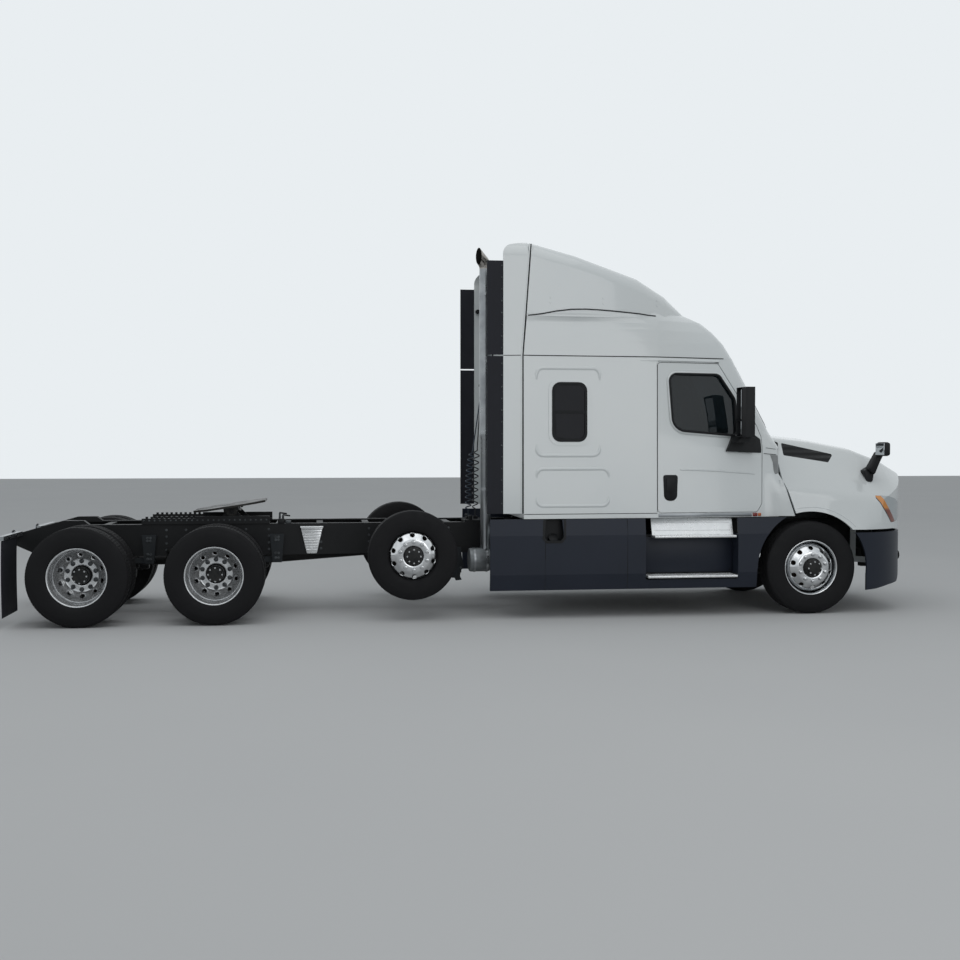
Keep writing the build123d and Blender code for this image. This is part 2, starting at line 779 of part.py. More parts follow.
# Doors: the cab's own skin inside the door outline, with the window cut and glazed
with BuildPart() as door:
    add(cab_outer)
    add(door_inner, mode=Mode.SUBTRACT)
    add(door_form, mode=Mode.INTERSECT)
    add(door_pane, mode=Mode.SUBTRACT)
with BuildPart() as door_glass:
    add(glass_outer)
    add(glass_inner, mode=Mode.SUBTRACT)
    add(door_pane, mode=Mode.INTERSECT)

mirror_span = (-896, -722)
mirror_heights = (1885, 2406)
mirror_y = (1250, 1420)
mirror_foot = [(-937, 1735), (-619, 1725), (-619, 1860), (-700, 1900), (-860, 1900)]
with BuildPart() as door_mirror:
    with BuildSketch(Plane.XY.offset(mirror_heights[0])) as head:
        with Locations((front_axle_x + sum(mirror_span) / 2, -sum(mirror_y) / 2)):
            Rectangle(mirror_span[1] - mirror_span[0], mirror_y[1] - mirror_y[0])
        fillet(head.vertices(), 35)
    extrude(amount=mirror_heights[1] - mirror_heights[0])
    add(side_prism(mirror_foot, 940, 1130, 10))
    add(side_prism([(-880, 1830), (-740, 1830), (-740, 1900), (-880, 1900)], 1100, 1300))
    add(cab_outer, mode=Mode.SUBTRACT)
for side, sign in sides.items():
    save(on_side(door.part, sign), f"door_{side}")
    save(on_side(door_glass.part, sign), f"door_glass_{side}")
    save(on_side(door_mirror.part, sign), f"door_mirror_{side}")

# Hood and bumper share one plan: a bowed nose swept back to straight sides
nose_radius = 3500
nose_corner = 800
nose_half = 1220
hood_bottom = 900
bumper_top = 868
bumper_skin = 28
arch_radius = 600


def nose_plan(inset, low, high):
    """The plan of the truck's nose, drawn in by the inset, between two heights."""
    front = nose_x - inset
    half = nose_half - inset
    side_x = front - (nose_radius - (nose_radius**2 - half**2) ** 0.5)
    with BuildPart() as plan:
        with BuildSketch(Plane.XY.offset(low)) as outline:
            with BuildLine():
                side = Polyline(
                    (side_x, -half),
                    (front_axle_x - 600, -half),
                    (front_axle_x - 600, half),
                    (side_x, half),
                )
                ThreePointArc(side @ 1, (front, 0), side @ 0)
            make_face()
            fillet(outline.vertices().group_by(Axis.X)[-1], nose_corner - inset)
        extrude(amount=high - low)
    return plan.part


def arch(radius, inner):
    """A wheel arch's cutter over one side of the front axle."""
    with BuildPart() as cutter:
        with BuildSketch(Plane.XZ.offset(inner)):
            with Locations((front_axle_x, axle_z)):
                Circle(radius)
        extrude(amount=800)
    return cutter.part


# Hood sections: x from the front axle, sill half width, belt half width, belt z, shoulder half
# width, shoulder z, crown z
hood_sections = [
    (-450, 1085, 1062, 1340, 820, 1890, 1945),
    (150, 1195, 1155, 1290, 760, 1830, 1895),
    (650, 1215, 1150, 1250, 700, 1745, 1805),
    (1000, 1200, 1120, 1200, 650, 1620, 1690),
    (1320, 1180, 1060, 1150, 600, 1440, 1500),
]


def hood_loft(inset, floor):
    """The hood's form from its cross-sections, drawn in by the inset."""
    sketches = []
    for x, sill_y, belt_y, belt, shoulder_y, shoulder_z, crown_z in hood_sections:
        with BuildSketch(Plane.YZ.offset(front_axle_x + x)) as section:
            with BuildLine():
                side = Polyline(
                    (shoulder_y - inset * 0.6, shoulder_z - inset),
                    (belt_y - inset, belt),
                    (sill_y - inset, floor),
                    (-sill_y + inset, floor),
                    (-belt_y + inset, belt),
                    (-shoulder_y + inset * 0.6, shoulder_z - inset),
                )
                ThreePointArc(side @ 1, (0, crown_z - inset), side @ 0)
            make_face()
            fillet(section.vertices().group_by(Axis.Y)[1], 220 - inset)
            fillet(section.vertices().group_by(Axis.Y)[-1], 160 - inset)
        sketches.append(section.sketch)
    with BuildPart() as skin:
        loft(sketches, ruled=True)
    return skin.part


hood_gap = 8
with BuildPart() as hood_outer:
    add(hood_loft(0, hood_bottom))
    add(nose_plan(0, hood_bottom - 1, 2100), mode=Mode.INTERSECT)
with BuildPart() as hood_inner:
    add(hood_loft(shell, hood_bottom - 5))
    add(nose_plan(shell, hood_bottom - 10, 2100), mode=Mode.INTERSECT)
hood_rear = [(-700, 2200), (-300, 2200), (-296, 1700), (-280, 1430), (-240, 1320), (-150, 1050), (-150, 700)]
low_levels = [(cab_bottom - 200, *cab_levels[0][1:]), *cab_levels[1:]]
with BuildPart() as cab_face:
    add(level_loft(low_levels, -hood_gap))
    add(both_sides(side_prism(cowl_side, 900, 1300, 0, hood_gap)))
    add(both_sides(side_prism([*hood_rear, (-700, 700)], 900, 1400)))
with BuildPart() as hood_skin:
    add(hood_outer)
    add(hood_inner, mode=Mode.SUBTRACT)
    add(cab_face, mode=Mode.SUBTRACT)
    add(both_sides(arch(arch_radius, 500)), mode=Mode.SUBTRACT)

grille_half = 470
grille_heights = (960, 1410)
with BuildPart() as grille_prism:
    with BuildSketch(Plane.YZ.offset(front_axle_x + 1000)) as opening:
        with Locations((0, sum(grille_heights) / 2)):
            Rectangle(2 * grille_half, grille_heights[1] - grille_heights[0])
        fillet(opening.vertices(), 60)
    extrude(amount=400)
lamp_side = [(730, 1230), (958, 950), (1400, 950), (1400, 1300), (730, 1300)]
with BuildPart() as lamp_prism:
    add(side_prism(lamp_side, 640, side_out))
    with BuildSketch(Plane.YZ.offset(front_axle_x + 600)):
        with BuildLine():
            Polyline((-640, 1010), (-640, 1120), (-1250, 1300), (-1250, 940), close=True)
        make_face()
    extrude(amount=800, mode=Mode.INTERSECT)
vent_side = [(-215, 1828), (386, 1702), (295, 1615), (-214, 1693)]
vent_prism = side_prism(vent_side, 700, side_out, 15)

arm_path = [(hood_pivot[0] - front_axle_x, hood_pivot[1]), (770, 520), (770, 1000), (1240, 1000)]
arm_half = 32
with BuildPart() as hood_arm:
    with BuildSketch(Plane.XZ.offset(arm_span[0])):
        with BuildLine():
            Polyline(side_points(arm_path))
        trace(line_width=2 * arm_half)
    extrude(amount=arm_span[1] - arm_span[0])
    add(nose_plan(shell / 2, hood_bottom - 600, 2100), mode=Mode.INTERSECT)
    with BuildSketch(Plane.XZ.offset(arm_span[0])):
        with Locations(hood_pivot):
            Circle(hood_pin_radius + running_clearance)
    extrude(amount=arm_span[1] - arm_span[0], mode=Mode.SUBTRACT)
with BuildPart() as hood_shell:
    add(hood_skin)
    add(grille_prism.part, mode=Mode.SUBTRACT)
    add(both_sides(lamp_prism.part), mode=Mode.SUBTRACT)
    add(both_sides(vent_prism), mode=Mode.SUBTRACT)
    add(both_sides(hood_arm.part))
save(hood_shell.part, "hood_shell")
with BuildPart() as lamp_forms:
    add(both_sides(lamp_prism.part))
with BuildPart() as headlamps:
    add(hood_skin)
    add(lamp_forms.part, mode=Mode.INTERSECT)
save(headlamps.part, "headlamps")
with BuildPart() as vent_forms:
    add(both_sides(vent_prism))
with BuildPart() as hood_vents:
    add(hood_skin)
    add(vent_forms.part, mode=Mode.INTERSECT)
save(hood_vents.part, "hood_vents")
bar_count = 6
bar_gap = 40
with BuildPart() as grille:
    add(grille_prism.part)
    add(block(nose_x - 90, nose_x - 60, -grille_half, grille_half, *grille_heights), mode=Mode.INTERSECT)
    pitch = (grille_heights[1] - grille_heights[0] - bar_gap) / bar_count
    for index in range(bar_count):
        low = grille_heights[0] + bar_gap + index * pitch
        add(block(nose_x - 91, nose_x - 59, -grille_half + 50, grille_half - 50, low, low + pitch - bar_gap),
            mode=Mode.SUBTRACT)
save(grille.part, "grille")

# Hood mirrors: a head on a bent arm at each front shoulder of the hood
hood_mirror_foot = [(665, 1587), (735, 1587), (800, 1393), (735, 1393)]
hood_mirror_arm = [(690, 1590), (735, 1500), (790, 1500), (850, 1700), (790, 1720)]
hood_mirror_head = (826, -1130)
with BuildPart() as hood_mirror:
    with BuildSketch(Plane.XY.offset(1684)) as head:
        with Locations((front_axle_x + hood_mirror_head[0], hood_mirror_head[1])):
            Rectangle(162, 140)
        fillet(head.vertices(), 40)
    extrude(amount=152)
    add(side_prism(hood_mirror_foot, 780, 1000))
    add(side_prism(hood_mirror_arm, 960, 1100))
    add(hood_outer.part, mode=Mode.SUBTRACT)
with BuildPart() as hood_mirrors:
    add(both_sides(hood_mirror.part))
save(hood_mirrors.part, "hood_mirrors")

# Bumper: the nose plan below the hood, cut away at the arches and under its chin
chin = [(540, 248), (723, 262), (900, 292), (1090, 310), (1175, 395), (1400, 430), (1400, 200), (540, 200)]
bumper_low = 248
bumper_half_depth = 13
intake_half = 360
intake_heights = (470, 640)
with BuildPart() as bumper_stay:
    add(block(horn_front_x, nose_x, -rail_y, -rail_inner_y, horn_bottom + 20, horn_bottom + 150))
    add(nose_plan(bumper_half_depth, 0, 1000), mode=Mode.INTERSECT)
with BuildPart() as bumper:
    add(nose_plan(0, bumper_low, bumper_top))
    add(nose_plan(bumper_skin, bumper_low, bumper_top), mode=Mode.SUBTRACT)
    add(both_sides(arch(arch_radius, 500)), mode=Mode.SUBTRACT)
    add(block(front_axle_x - 800, front_axle_x + 300, -1400, 1400, 0, 1200), mode=Mode.SUBTRACT)
    add(block(front_axle_x - 800, front_axle_x + arch_radius - 5, -1400, 1400, 0, axle_z), mode=Mode.SUBTRACT)
    add(both_sides(side_prism(chin, 0, 1300)), mode=Mode.SUBTRACT)
    add(block(nose_x - 200, nose_x + 200, -intake_half, intake_half, *intake_heights), mode=Mode.SUBTRACT)
    add(both_sides(bumper_stay.part))
save(bumper.part, "bumper")

# Tanks and boxes hung on the rails, with pads for the skirts
tank_radius = 310
tank_y = 805
tank_z = 620
tank_span = (-3340, -1950)
tank_straps = (-3050, -2250)
strap_width = 60
box_span = (-1860, -780)
box_y = (480, 1000)
box_z = (330, 860)
box_pads = (-1700, -900)
skirt_y = 1205
skirt_plate = 22
skirt_top = 1036
skirt_bottom = 300
skirt_creases = (867, 463)
skirt_tuck = 25
skirt_inner_y = skirt_y - skirt_plate
tuck_share = (skirt_creases[1] - box_z[0]) / (skirt_creases[1] - skirt_bottom)
pad_reach = skirt_inner_y - skirt_tuck * tuck_share
with BuildPart() as right_tank:
    with BuildSketch(Plane.YZ.offset(front_axle_x + tank_span[0])):
        with Locations((-tank_y, tank_z)):
            RegularPolygon(tank_radius, 20)
    extrude(amount=tank_span[1] - tank_span[0])
    for place in tank_straps:
        x_low, x_high = front_axle_x + place - strap_width / 2, front_axle_x + place + strap_width / 2
        add(block(x_low, x_high, -skirt_inner_y, -tank_y, tank_z - 60, tank_z + 60))
        add(block(x_low, x_high, -tank_y, -rail_y, tank_z + 40, tank_z + 200))
with BuildPart() as right_box:
    x_low, x_high = [front_axle_x + x for x in box_span]
    add(block(x_low, x_high, -box_y[1], -box_y[0], *box_z))
    for place in box_pads:
        x_low, x_high = front_axle_x + place - strap_width / 2, front_axle_x + place + strap_width / 2
        add(block(x_low, x_high, -box_y[0], -rail_y, 650, 800))
        add(block(x_low, x_high, -pad_reach, -box_y[1], box_z[0], box_z[0] + 60))
with BuildPart() as tanks:
    add(both_sides(right_tank.part))
    add(both_sides(right_box.part))
save(tanks.part, "tanks_and_boxes")

# Side skirts: a creased panel from the sleeper's rear to the wheel arch, open at the steps
skirt_rear = -3473
skirt_front = -270
arch_gap = 13
step_opening = (-1830, -830)
step_opening_low = 395
step_return = 22
filler = [(-2700, 815), (-2720, 1070), (-2890, 1070), (-2905, 815)]
with BuildPart() as skirt:
    with BuildSketch(Plane.YZ.offset(front_axle_x + skirt_rear)):
        with BuildLine():
            Polyline(
                (-skirt_y + skirt_tuck, skirt_top),
                (-skirt_y, skirt_creases[0]),
                (-skirt_y, skirt_creases[1]),
                (-skirt_y + skirt_tuck, skirt_bottom),
                (-skirt_inner_y + skirt_tuck, skirt_bottom),
                (-skirt_inner_y, skirt_creases[1]),
                (-skirt_inner_y, skirt_creases[0]),
                (-skirt_inner_y + skirt_tuck, skirt_top),
                close=True,
            )
        make_face()
    extrude(amount=skirt_front - skirt_rear)
    add(arch(arch_radius + arch_gap, 900), mode=Mode.SUBTRACT)
    add(block(front_axle_x - arch_radius - arch_gap - 5, front_axle_x, -1300, -1000, 0, axle_z),
        mode=Mode.SUBTRACT)
    x_low, x_high = [front_axle_x + x for x in step_opening]
    add(block(x_low, x_high, -1300, -1000, step_opening_low, 1100), mode=Mode.SUBTRACT)
    for x in (x_low - step_return, x_high):
        add(block(x, x + step_return, -skirt_inner_y - 8, -box_y[1], step_opening_low, skirt_creases[0]))
    add(side_prism(filler, 1000, 1300), mode=Mode.SUBTRACT)
with BuildPart() as side_skirts:
    add(both_sides(skirt.part))
save(side_skirts.part, "side_skirts")

# Steps: bright treads in the opening, the upper one with a kick plate behind it
tread = 24
tread_reach = 1225
treads = [(-1738, -853, 856), (-1808, -838, 436)]
kick_plate = [(-1120, 850), (-1050, 1030), (-1038, 1030), (-1108, 850)]
with BuildPart() as right_steps:
    for x_low, x_high, top in treads:
        add(block(front_axle_x + x_low, front_axle_x + x_high, -tread_reach, -box_y[1], top - tread, top))
    with BuildSketch(Plane.YZ.offset(front_axle_x + treads[0][0])):
        with BuildLine():
            Polyline(*kick_plate, close=True)
        make_face()
    extrude(amount=treads[0][1] - treads[0][0])
with BuildPart() as cab_steps:
    add(both_sides(right_steps.part))
save(cab_steps.part, "cab_steps")

# Roof fairing sections: x from the front axle, half width, top, shoulder radius
fairing_sections = [
    (-3100, 1166, 3960, 170),
    (-2555, 1156, 3820, 170),
    (-1890, 1105, 3600, 160),
    (-1574, 1000, 3430, 120),
    (-1250, 700, 3228, 25),
]
fairing_low = 3130
fairing_bow = 60
fairing_wall = 24


def fairing_loft(inset):
    """The fairing's form through its cross-sections, drawn in by the inset."""
    sketches = []
    for x, half, top, radius in fairing_sections:
        with BuildSketch(Plane.YZ.offset(front_axle_x + x)) as section:
            with BuildLine():
                side = Polyline(
                    (half - inset, top - inset - fairing_bow),
                    (half - inset, fairing_low - 1 * (inset > 0)),
                    (-half + inset, fairing_low - 1 * (inset > 0)),
                    (-half + inset, top - inset - fairing_bow),
                )
                ThreePointArc(side @ 1, (0, top - inset), side @ 0)
            make_face()
            fillet(section.vertices().group_by(Axis.Y)[-1], radius - inset * 0.9)
        sketches.append(section.sketch)
    with BuildPart() as skin:
        loft(sketches, ruled=True)
    return skin.part


rear_line = [(-3120, seam_z), (-3041, 3799), (-3020, 4100)]
extender_gap = 28
with BuildPart() as roof_fairing:
    add(fairing_loft(0))
    add(fairing_loft(fairing_wall), mode=Mode.SUBTRACT)
    add(roof_outer, mode=Mode.SUBTRACT)
    add(both_sides(side_prism([*rear_line, (-3500, 4100), (-3500, seam_z)], -10, 1300)), mode=Mode.SUBTRACT)
save(roof_fairing.part, "roof_fairing")

# Side extenders: plates behind the sleeper that turn in over the roof, with rubber flaps
extender_rear = -3332
extender_low = 1094
extender_y = 1165
extender_plate = 32
extender_top = 3950
extender_turn = 700
extender_round = 170
extender_stays = (1450, 2050, 2600)
extender_side = [
    (rear_line[0][0] - extender_gap, extender_low),
    (rear_line[0][0] - extender_gap, seam_z),
    (rear_line[1][0] - extender_gap, rear_line[1][1]),
    (rear_line[1][0] - extender_gap + 15, 4010),
    (extender_rear + 90, 4010),
    (extender_rear, 3790),
    (extender_rear, extender_low),
]
flap_span = (-3499, extender_rear)
flap_heights = ((1094, 2715), (2730, 3691))
flap_plate = 14
inner_y = extender_y - extender_plate
with BuildPart() as extender:
    with BuildSketch(Plane.YZ.offset(front_axle_x + extender_rear - 10)) as ring:
        with BuildLine():
            outer = Polyline(
                (-extender_turn, extender_top - 25),
                (-extender_y, extender_top - 60),
                (-extender_y, extender_low - 10),
            )
            inner = Polyline(
                (-inner_y, extender_low - 10),
                (-inner_y, extender_top - 60 - extender_plate),
                (-extender_turn, extender_top - 25 - extender_plate),
            )
            Line(outer @ 1, inner @ 0)
            Line(inner @ 1, outer @ 0)
        make_face()
        fillet(ring.vertices().group_by(Axis.X)[0].sort_by(Axis.Y)[-1:], extender_round)
        inner_corner = ring.vertices().filter_by_position(Axis.X, -inner_y - 1, -inner_y + 1)
        fillet(inner_corner.sort_by(Axis.Y)[-1:], extender_round - extender_plate)
    extrude(amount=400)
    add(side_prism(extender_side, 600, 1300), mode=Mode.INTERSECT)
    for height in extender_stays:
        add(block(cab_rear_x - 130, cab_rear_x, -inner_y, -inner_y + 60, height, height + 60))
with BuildPart() as side_extenders:
    add(both_sides(extender.part))
save(side_extenders.part, "side_extenders")
with BuildPart() as extender_flaps:
    x_low, x_high = [front_axle_x + x for x in flap_span]
    for low, high in flap_heights:
        add(both_sides(block(x_low, x_high, -extender_y + 8, -extender_y + 8 + flap_plate, low, high)))
save(extender_flaps.part, "extender_flaps")

# Exhaust: a can by the rail, a riser and a shielded stack with a swept-back tip
stack_x = front_axle_x - 3460
stack_y = -750
stack_radius = 63
stack_wall = 4
riser_radius = 55
shield_radius = 80
shield_span = (1900, 3350)
can_radius = 125
can_z = 588
stack_stays = (1950, 2300)
stack_straight = 3720
tip_back = 62
tip_z = 3885
with BuildPart() as exhaust:
    with BuildLine() as centre:
        up = Line((stack_x, stack_y, shield_span[0]), (stack_x, stack_y, stack_straight))
        TangentArc(up @ 1, (stack_x - tip_back, stack_y, tip_z), tangent=up % 1)
    with BuildSketch(Plane.XY.offset(shield_span[0])):
        with Locations((stack_x, stack_y)):
            Circle(stack_radius)
            Circle(stack_radius - stack_wall, mode=Mode.SUBTRACT)
    sweep(path=centre.line)
    with BuildSketch(Plane.XY.offset(shield_span[0])):
        with Locations((stack_x, stack_y)):
            RegularPolygon(shield_radius, 24)
            Circle(stack_radius - 1, mode=Mode.SUBTRACT)
    extrude(amount=shield_span[1] - shield_span[0])
    with BuildSketch(Plane.XY.offset(can_z)):
        with Locations((stack_x, stack_y)):
            Circle(riser_radius)
    extrude(amount=shield_span[0] - can_z + 20)
    with BuildSketch(Plane.XY.offset(shield_span[0])):
        with Locations((stack_x, stack_y)):
            Circle(shield_radius - 5)
    extrude(amount=20)
    with BuildSketch(Plane.YZ.offset(stack_x - 180)):
        with Locations((stack_y, can_z)):
            RegularPolygon(can_radius, 16)
    extrude(amount=230)
    for height in stack_stays:
        add(block(stack_x + stack_radius, cab_rear_x, stack_y - 20, stack_y + 20, height, height + 60))
    add(block(stack_x - 60, stack_x + 30, stack_y, -rail_y, 655, 715))
save(exhaust.part, "exhaust_stack")

# Hose pole: an upright bar clamped to the sleeper's back wall, with a hook at its top
pole_x = front_axle_x - 3400
pole_y = -200
pole_radius = 14
pole_span = (1180, 2510)
pole_stays = (1300, 2300)
hook_z = 2450
with BuildPart() as hose_pole:
    with BuildSketch(Plane.XY.offset(pole_span[0])):
        with Locations((pole_x, pole_y)):
            Circle(pole_radius)
    extrude(amount=pole_span[1] - pole_span[0])
    for height in pole_stays:
        add(block(pole_x, cab_rear_x, pole_y - 18, pole_y + 18, height, height + 36))
    add(block(pole_x - 50, pole_x, pole_y - 60, pole_y + 60, hook_z, hook_z + 24))

# Air lines: each hangs from the hook as a straight lead, a curly stretch and a short lead below.
# Points are the hook's end, the top and the bend of the curly stretch; x is from the front axle
lead_radius = 8
coil_radius = 38
coil_low = 1080
socket_half = 25
shelf_thickness = 20
shelf_span = (-3640, -3440)
air_lines = {
    "front": (-170, (-3425, hook_z), (-3470, 1760), 0.5),
    "rear": (-230, (-3425, hook_z), (-3530, 1730), 0.45),
}
socket_z = rail_top + shelf_thickness + 30
sockets = []
for name, (y, top, knee, share) in air_lines.items():
    start = Vector(front_axle_x + top[0], y, top[1])
    coil_top = Vector(front_axle_x + knee[0], y, knee[1])
    bend = coil_top + (coil_top - start) * share
    end = Vector(bend.X, y, coil_low)
    turn = radians((bend - coil_top).get_angle(end - bend))
    bend_radius = 0.45 * min((bend - coil_top).length, (end - bend).length) / tan(turn / 2)
    print(f"air line {name}: bend radius {bend_radius:.0f} mm")
    with BuildPart() as lead:
        with BuildSketch(Plane(origin=coil_top, z_dir=start - coil_top)):
            Circle(lead_radius)
        extrude(amount=(start - coil_top).length + lead_radius)
        add(block(start.X - 50, start.X + 50, y - 50, y + 50, hook_z, hook_z + 50), mode=Mode.SUBTRACT)
        with BuildSketch(Plane.XY.offset(socket_z)):
            with Locations((end.X, y)):
                Circle(lead_radius)
        extrude(amount=coil_low - socket_z)
    save(lead.part, f"air_lead_{name}")
    with BuildPart() as coil:
        with BuildLine() as centre:
            FilletPolyline(coil_top, bend, end, radius=bend_radius)
        with BuildSketch(Plane(origin=coil_top, z_dir=bend - coil_top)):
            Circle(coil_radius)
        sweep(path=centre.line)
    save(coil.part, f"air_coil_{name}")
    with BuildPart() as socket:
        add(block(end.X - socket_half, end.X + socket_half, y - socket_half, y + socket_half,
                  rail_top + shelf_thickness, socket_z))
    sockets.append(socket.part)
with BuildPart() as pole_and_shelf:
    add(hose_pole.part)
    x_low, x_high = [front_axle_x + x for x in shelf_span]
    add(block(x_low, x_high, -rail_y, -100, rail_top, rail_top + shelf_thickness))
    add(sockets)
save(pole_and_shelf.part, "hose_pole")

# Fifth wheel: toothed slide rails on the frame, a sliding carriage and a tilting plate
slide_span = (-7050, -5730)
slide_top = 1053
slide_plate = 24
slide_out = 20
foot_plate = 14
tooth_depth = 20
tooth_pitch = 51
tooth_count = 10
tooth_start = 40
slide_outer_y = rail_y + slide_out
slide_inner_y = slide_outer_y - slide_plate
with BuildPart() as right_slide:
    x_low, x_high = [front_axle_x + x for x in slide_span]
    add(block(x_low, x_high, -slide_outer_y, -slide_inner_y, rail_top, slide_top - tooth_depth))
    add(block(x_low, x_high, -slide_outer_y, -rail_inner_y, rail_top, rail_top + foot_plate))
    teeth_end = x_low + tooth_start + tooth_count * tooth_pitch
    for index in range(tooth_count):
        x = x_low + tooth_start + index * tooth_pitch
        add(block(x, x + tooth_pitch / 2, -slide_outer_y, -slide_inner_y, slide_top - tooth_depth, slide_top))
    add(block(teeth_end, x_high, -slide_outer_y, -slide_inner_y, slide_top - tooth_depth, slide_top))
with BuildPart() as slide_rails:
    add(both_sides(right_slide.part))
save(slide_rails.part, "slide_rails")

carriage_span = (-6420, -5860)
carriage_plate = 20
pedestal_y = (330, 355)
lug_spans = ((288, 322), (363, 393))
lug_radius = 55
pivot_x = front_axle_x - 6130
pivot_z = 1100
pivot_radius = 26
pedestal_head = (30, 28)
with BuildPart() as right_pedestal:
    with BuildSketch(Plane.XZ.offset(pedestal_y[0])):
        with BuildLine():
            Polyline(
                (pivot_x - 170, rail_top + foot_plate + 1),
                (pivot_x + 170, rail_top + foot_plate + 1),
                (pivot_x + pedestal_head[0], pivot_z + pedestal_head[1]),
                (pivot_x - pedestal_head[0], pivot_z + pedestal_head[1]),
                close=True,
            )
        make_face()
    extrude(amount=pedestal_y[1] - pedestal_y[0])
    with BuildSketch(Plane.XZ.offset(lug_spans[0][0])):
        with Locations((pivot_x, pivot_z)):
            Circle(pivot_radius)
    extrude(amount=lug_spans[1][1] - lug_spans[0][0])
with BuildPart() as carriage:
    x_low, x_high = [front_axle_x + x for x in carriage_span]
    y = slide_inner_y - seat_gap
    add(block(x_low, x_high, -y, y, rail_top + foot_plate, rail_top + foot_plate + carriage_plate))
    add(both_sides(right_pedestal.part))
save(carriage.part, "fifth_wheel_carriage")

rest_tilt = 8.5
plate_top = 62
plate_skin = 22
throat_half = 27
kingpin_seat = 25.4
plate_side = [(360, -300), (250, -420), (120, -480), (-240, -480), (-330, -330), (-405, -250)]
throat_side = [(-405, -70), (-250, -throat_half)]
tilted = Plane(
    origin=(pivot_x, 0, pivot_z),
    x_dir=(cos(radians(rest_tilt)), 0, sin(radians(rest_tilt))),
    z_dir=(-sin(radians(rest_tilt)), 0, cos(radians(rest_tilt))),
)
with BuildPart() as plate:
    with BuildSketch(tilted.offset(plate_top - plate_skin)):
        with BuildLine():
            right = [*plate_side, *throat_side]
            left = [(x, -y) for x, y in reversed(right)]
            Polyline(*right, *left, close=True)
        make_face()
        with Locations((-125, 0)):
            Rectangle(260, 2 * throat_half, mode=Mode.SUBTRACT)
        Circle(kingpin_seat, mode=Mode.SUBTRACT)
    extrude(amount=plate_skin)
    with BuildSketch(tilted.offset(-20)):
        Rectangle(150, 190)
        with Locations((-75, 0)):
            Rectangle(150, 2 * throat_half, mode=Mode.SUBTRACT)
        Circle(kingpin_seat, mode=Mode.SUBTRACT)
    extrude(amount=plate_top - plate_skin + 20)
    for sign in sides.values():
        for low, high in lug_spans:
            lug_plane = Plane.XZ.offset(low if sign < 0 else -high)
            with BuildSketch(tilted):
                with Locations((0, sign * (low + high) / 2)):
                    Rectangle(160, high - low)
            extrude(amount=plate_top - plate_skin)
            with BuildSketch(lug_plane):
                with Locations((pivot_x, pivot_z)):
                    Circle(lug_radius)
            extrude(amount=high - low)
            with BuildSketch(lug_plane):
                with Locations((pivot_x, pivot_z)):
                    Circle(pivot_radius + running_clearance)
            extrude(amount=high - low, mode=Mode.SUBTRACT)
save(plate.part, "fifth_wheel_plate")

# Tail: a bar across behind each rail's outer face with a lamp on it, and a mudflap below
flap_x = front_axle_x - 8275
mudflap_z = (110, 871)
mudflap_y = (600, 1205)
bar_half = 25
bar_depth = 40
lamp_radius = 50
with BuildPart() as right_bar:
    add(block(flap_x - bar_half, flap_x + bar_half, -mudflap_y[1], -rail_y, mudflap_z[1], mudflap_z[1] + bar_depth))
    with BuildSketch(Plane.YZ.offset(flap_x - bar_half - 35)):
        with Locations((-540, mudflap_z[1])):
            Circle(lamp_radius)
    extrude(amount=36)
with BuildPart() as tail_bars:
    add(both_sides(right_bar.part))
save(tail_bars.part, "tail_bars")
with BuildPart() as mudflaps:
    add(both_sides(block(flap_x - 8, flap_x + 8, -mudflap_y[1], -mudflap_y[0], *mudflap_z)))
save(mudflaps.part, "mudflaps")

# Cab interior: seats, a dashboard with its steering wheel, and the bunk
floor_z = cab_bottom + cab_wall
seat_x = front_axle_x - 1330
bunk_length = 840
bunk_height = 480
bunk_half = 1050
dash_side = [
    (-150, 1840),
    (-150, floor_z),
    (-560, floor_z),
    (-640, 1420),
    (-700, 1480),
    (-700, 1780),
    (-560, 1870),
    (-420, 1890),
]
with BuildPart() as right_seat:
    add(block(seat_x - 250, seat_x + 250, -790, -310, floor_z + 330, floor_z + 480))
    add(block(seat_x - 180, seat_x + 180, -720, -380, floor_z, floor_z + 330))
    with BuildSketch(Plane.XZ.offset(320)):
        with BuildLine():
            Polyline(
                (seat_x - 250, floor_z + 400),
                (seat_x - 120, floor_z + 400),
                (seat_x - 230, floor_z + 1210),
                (seat_x - 330, floor_z + 1210),
                close=True,
            )
        make_face()
    extrude(amount=460)
with BuildPart() as dashboard:
    with BuildSketch(Plane.XZ.offset(-900)):
        with BuildLine():
            Polyline(*side_points(dash_side), close=True)
        make_face()
    extrude(amount=1800)
    add(cab_inner, mode=Mode.INTERSECT)
steering_plane = Plane(origin=(front_axle_x - 790, 550, 1740), z_dir=(-0.55, 0, 0.83))
with BuildPart() as steering:
    with BuildSketch(steering_plane):
        RegularPolygon(225, 16)
        RegularPolygon(195, 16, mode=Mode.SUBTRACT)
        Rectangle(40, 400)
    extrude(amount=24)
    with BuildSketch(steering_plane):
        Circle(30)
    extrude(amount=-200)
with BuildPart() as cab_interior:
    add(both_sides(right_seat.part))
    add(dashboard.part)
    add(steering.part)
    add(block(cab_rear_x + cab_wall, cab_rear_x + cab_wall + bunk_length, -bunk_half, bunk_half,
              floor_z, floor_z + bunk_height))
save(cab_interior.part, "cab_interior")
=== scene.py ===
# The highway tractor unit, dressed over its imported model.
import math

import bmesh
import bpy
import numpy
from mathutils import Matrix, Vector
from mathutils.bvhtree import BVHTree


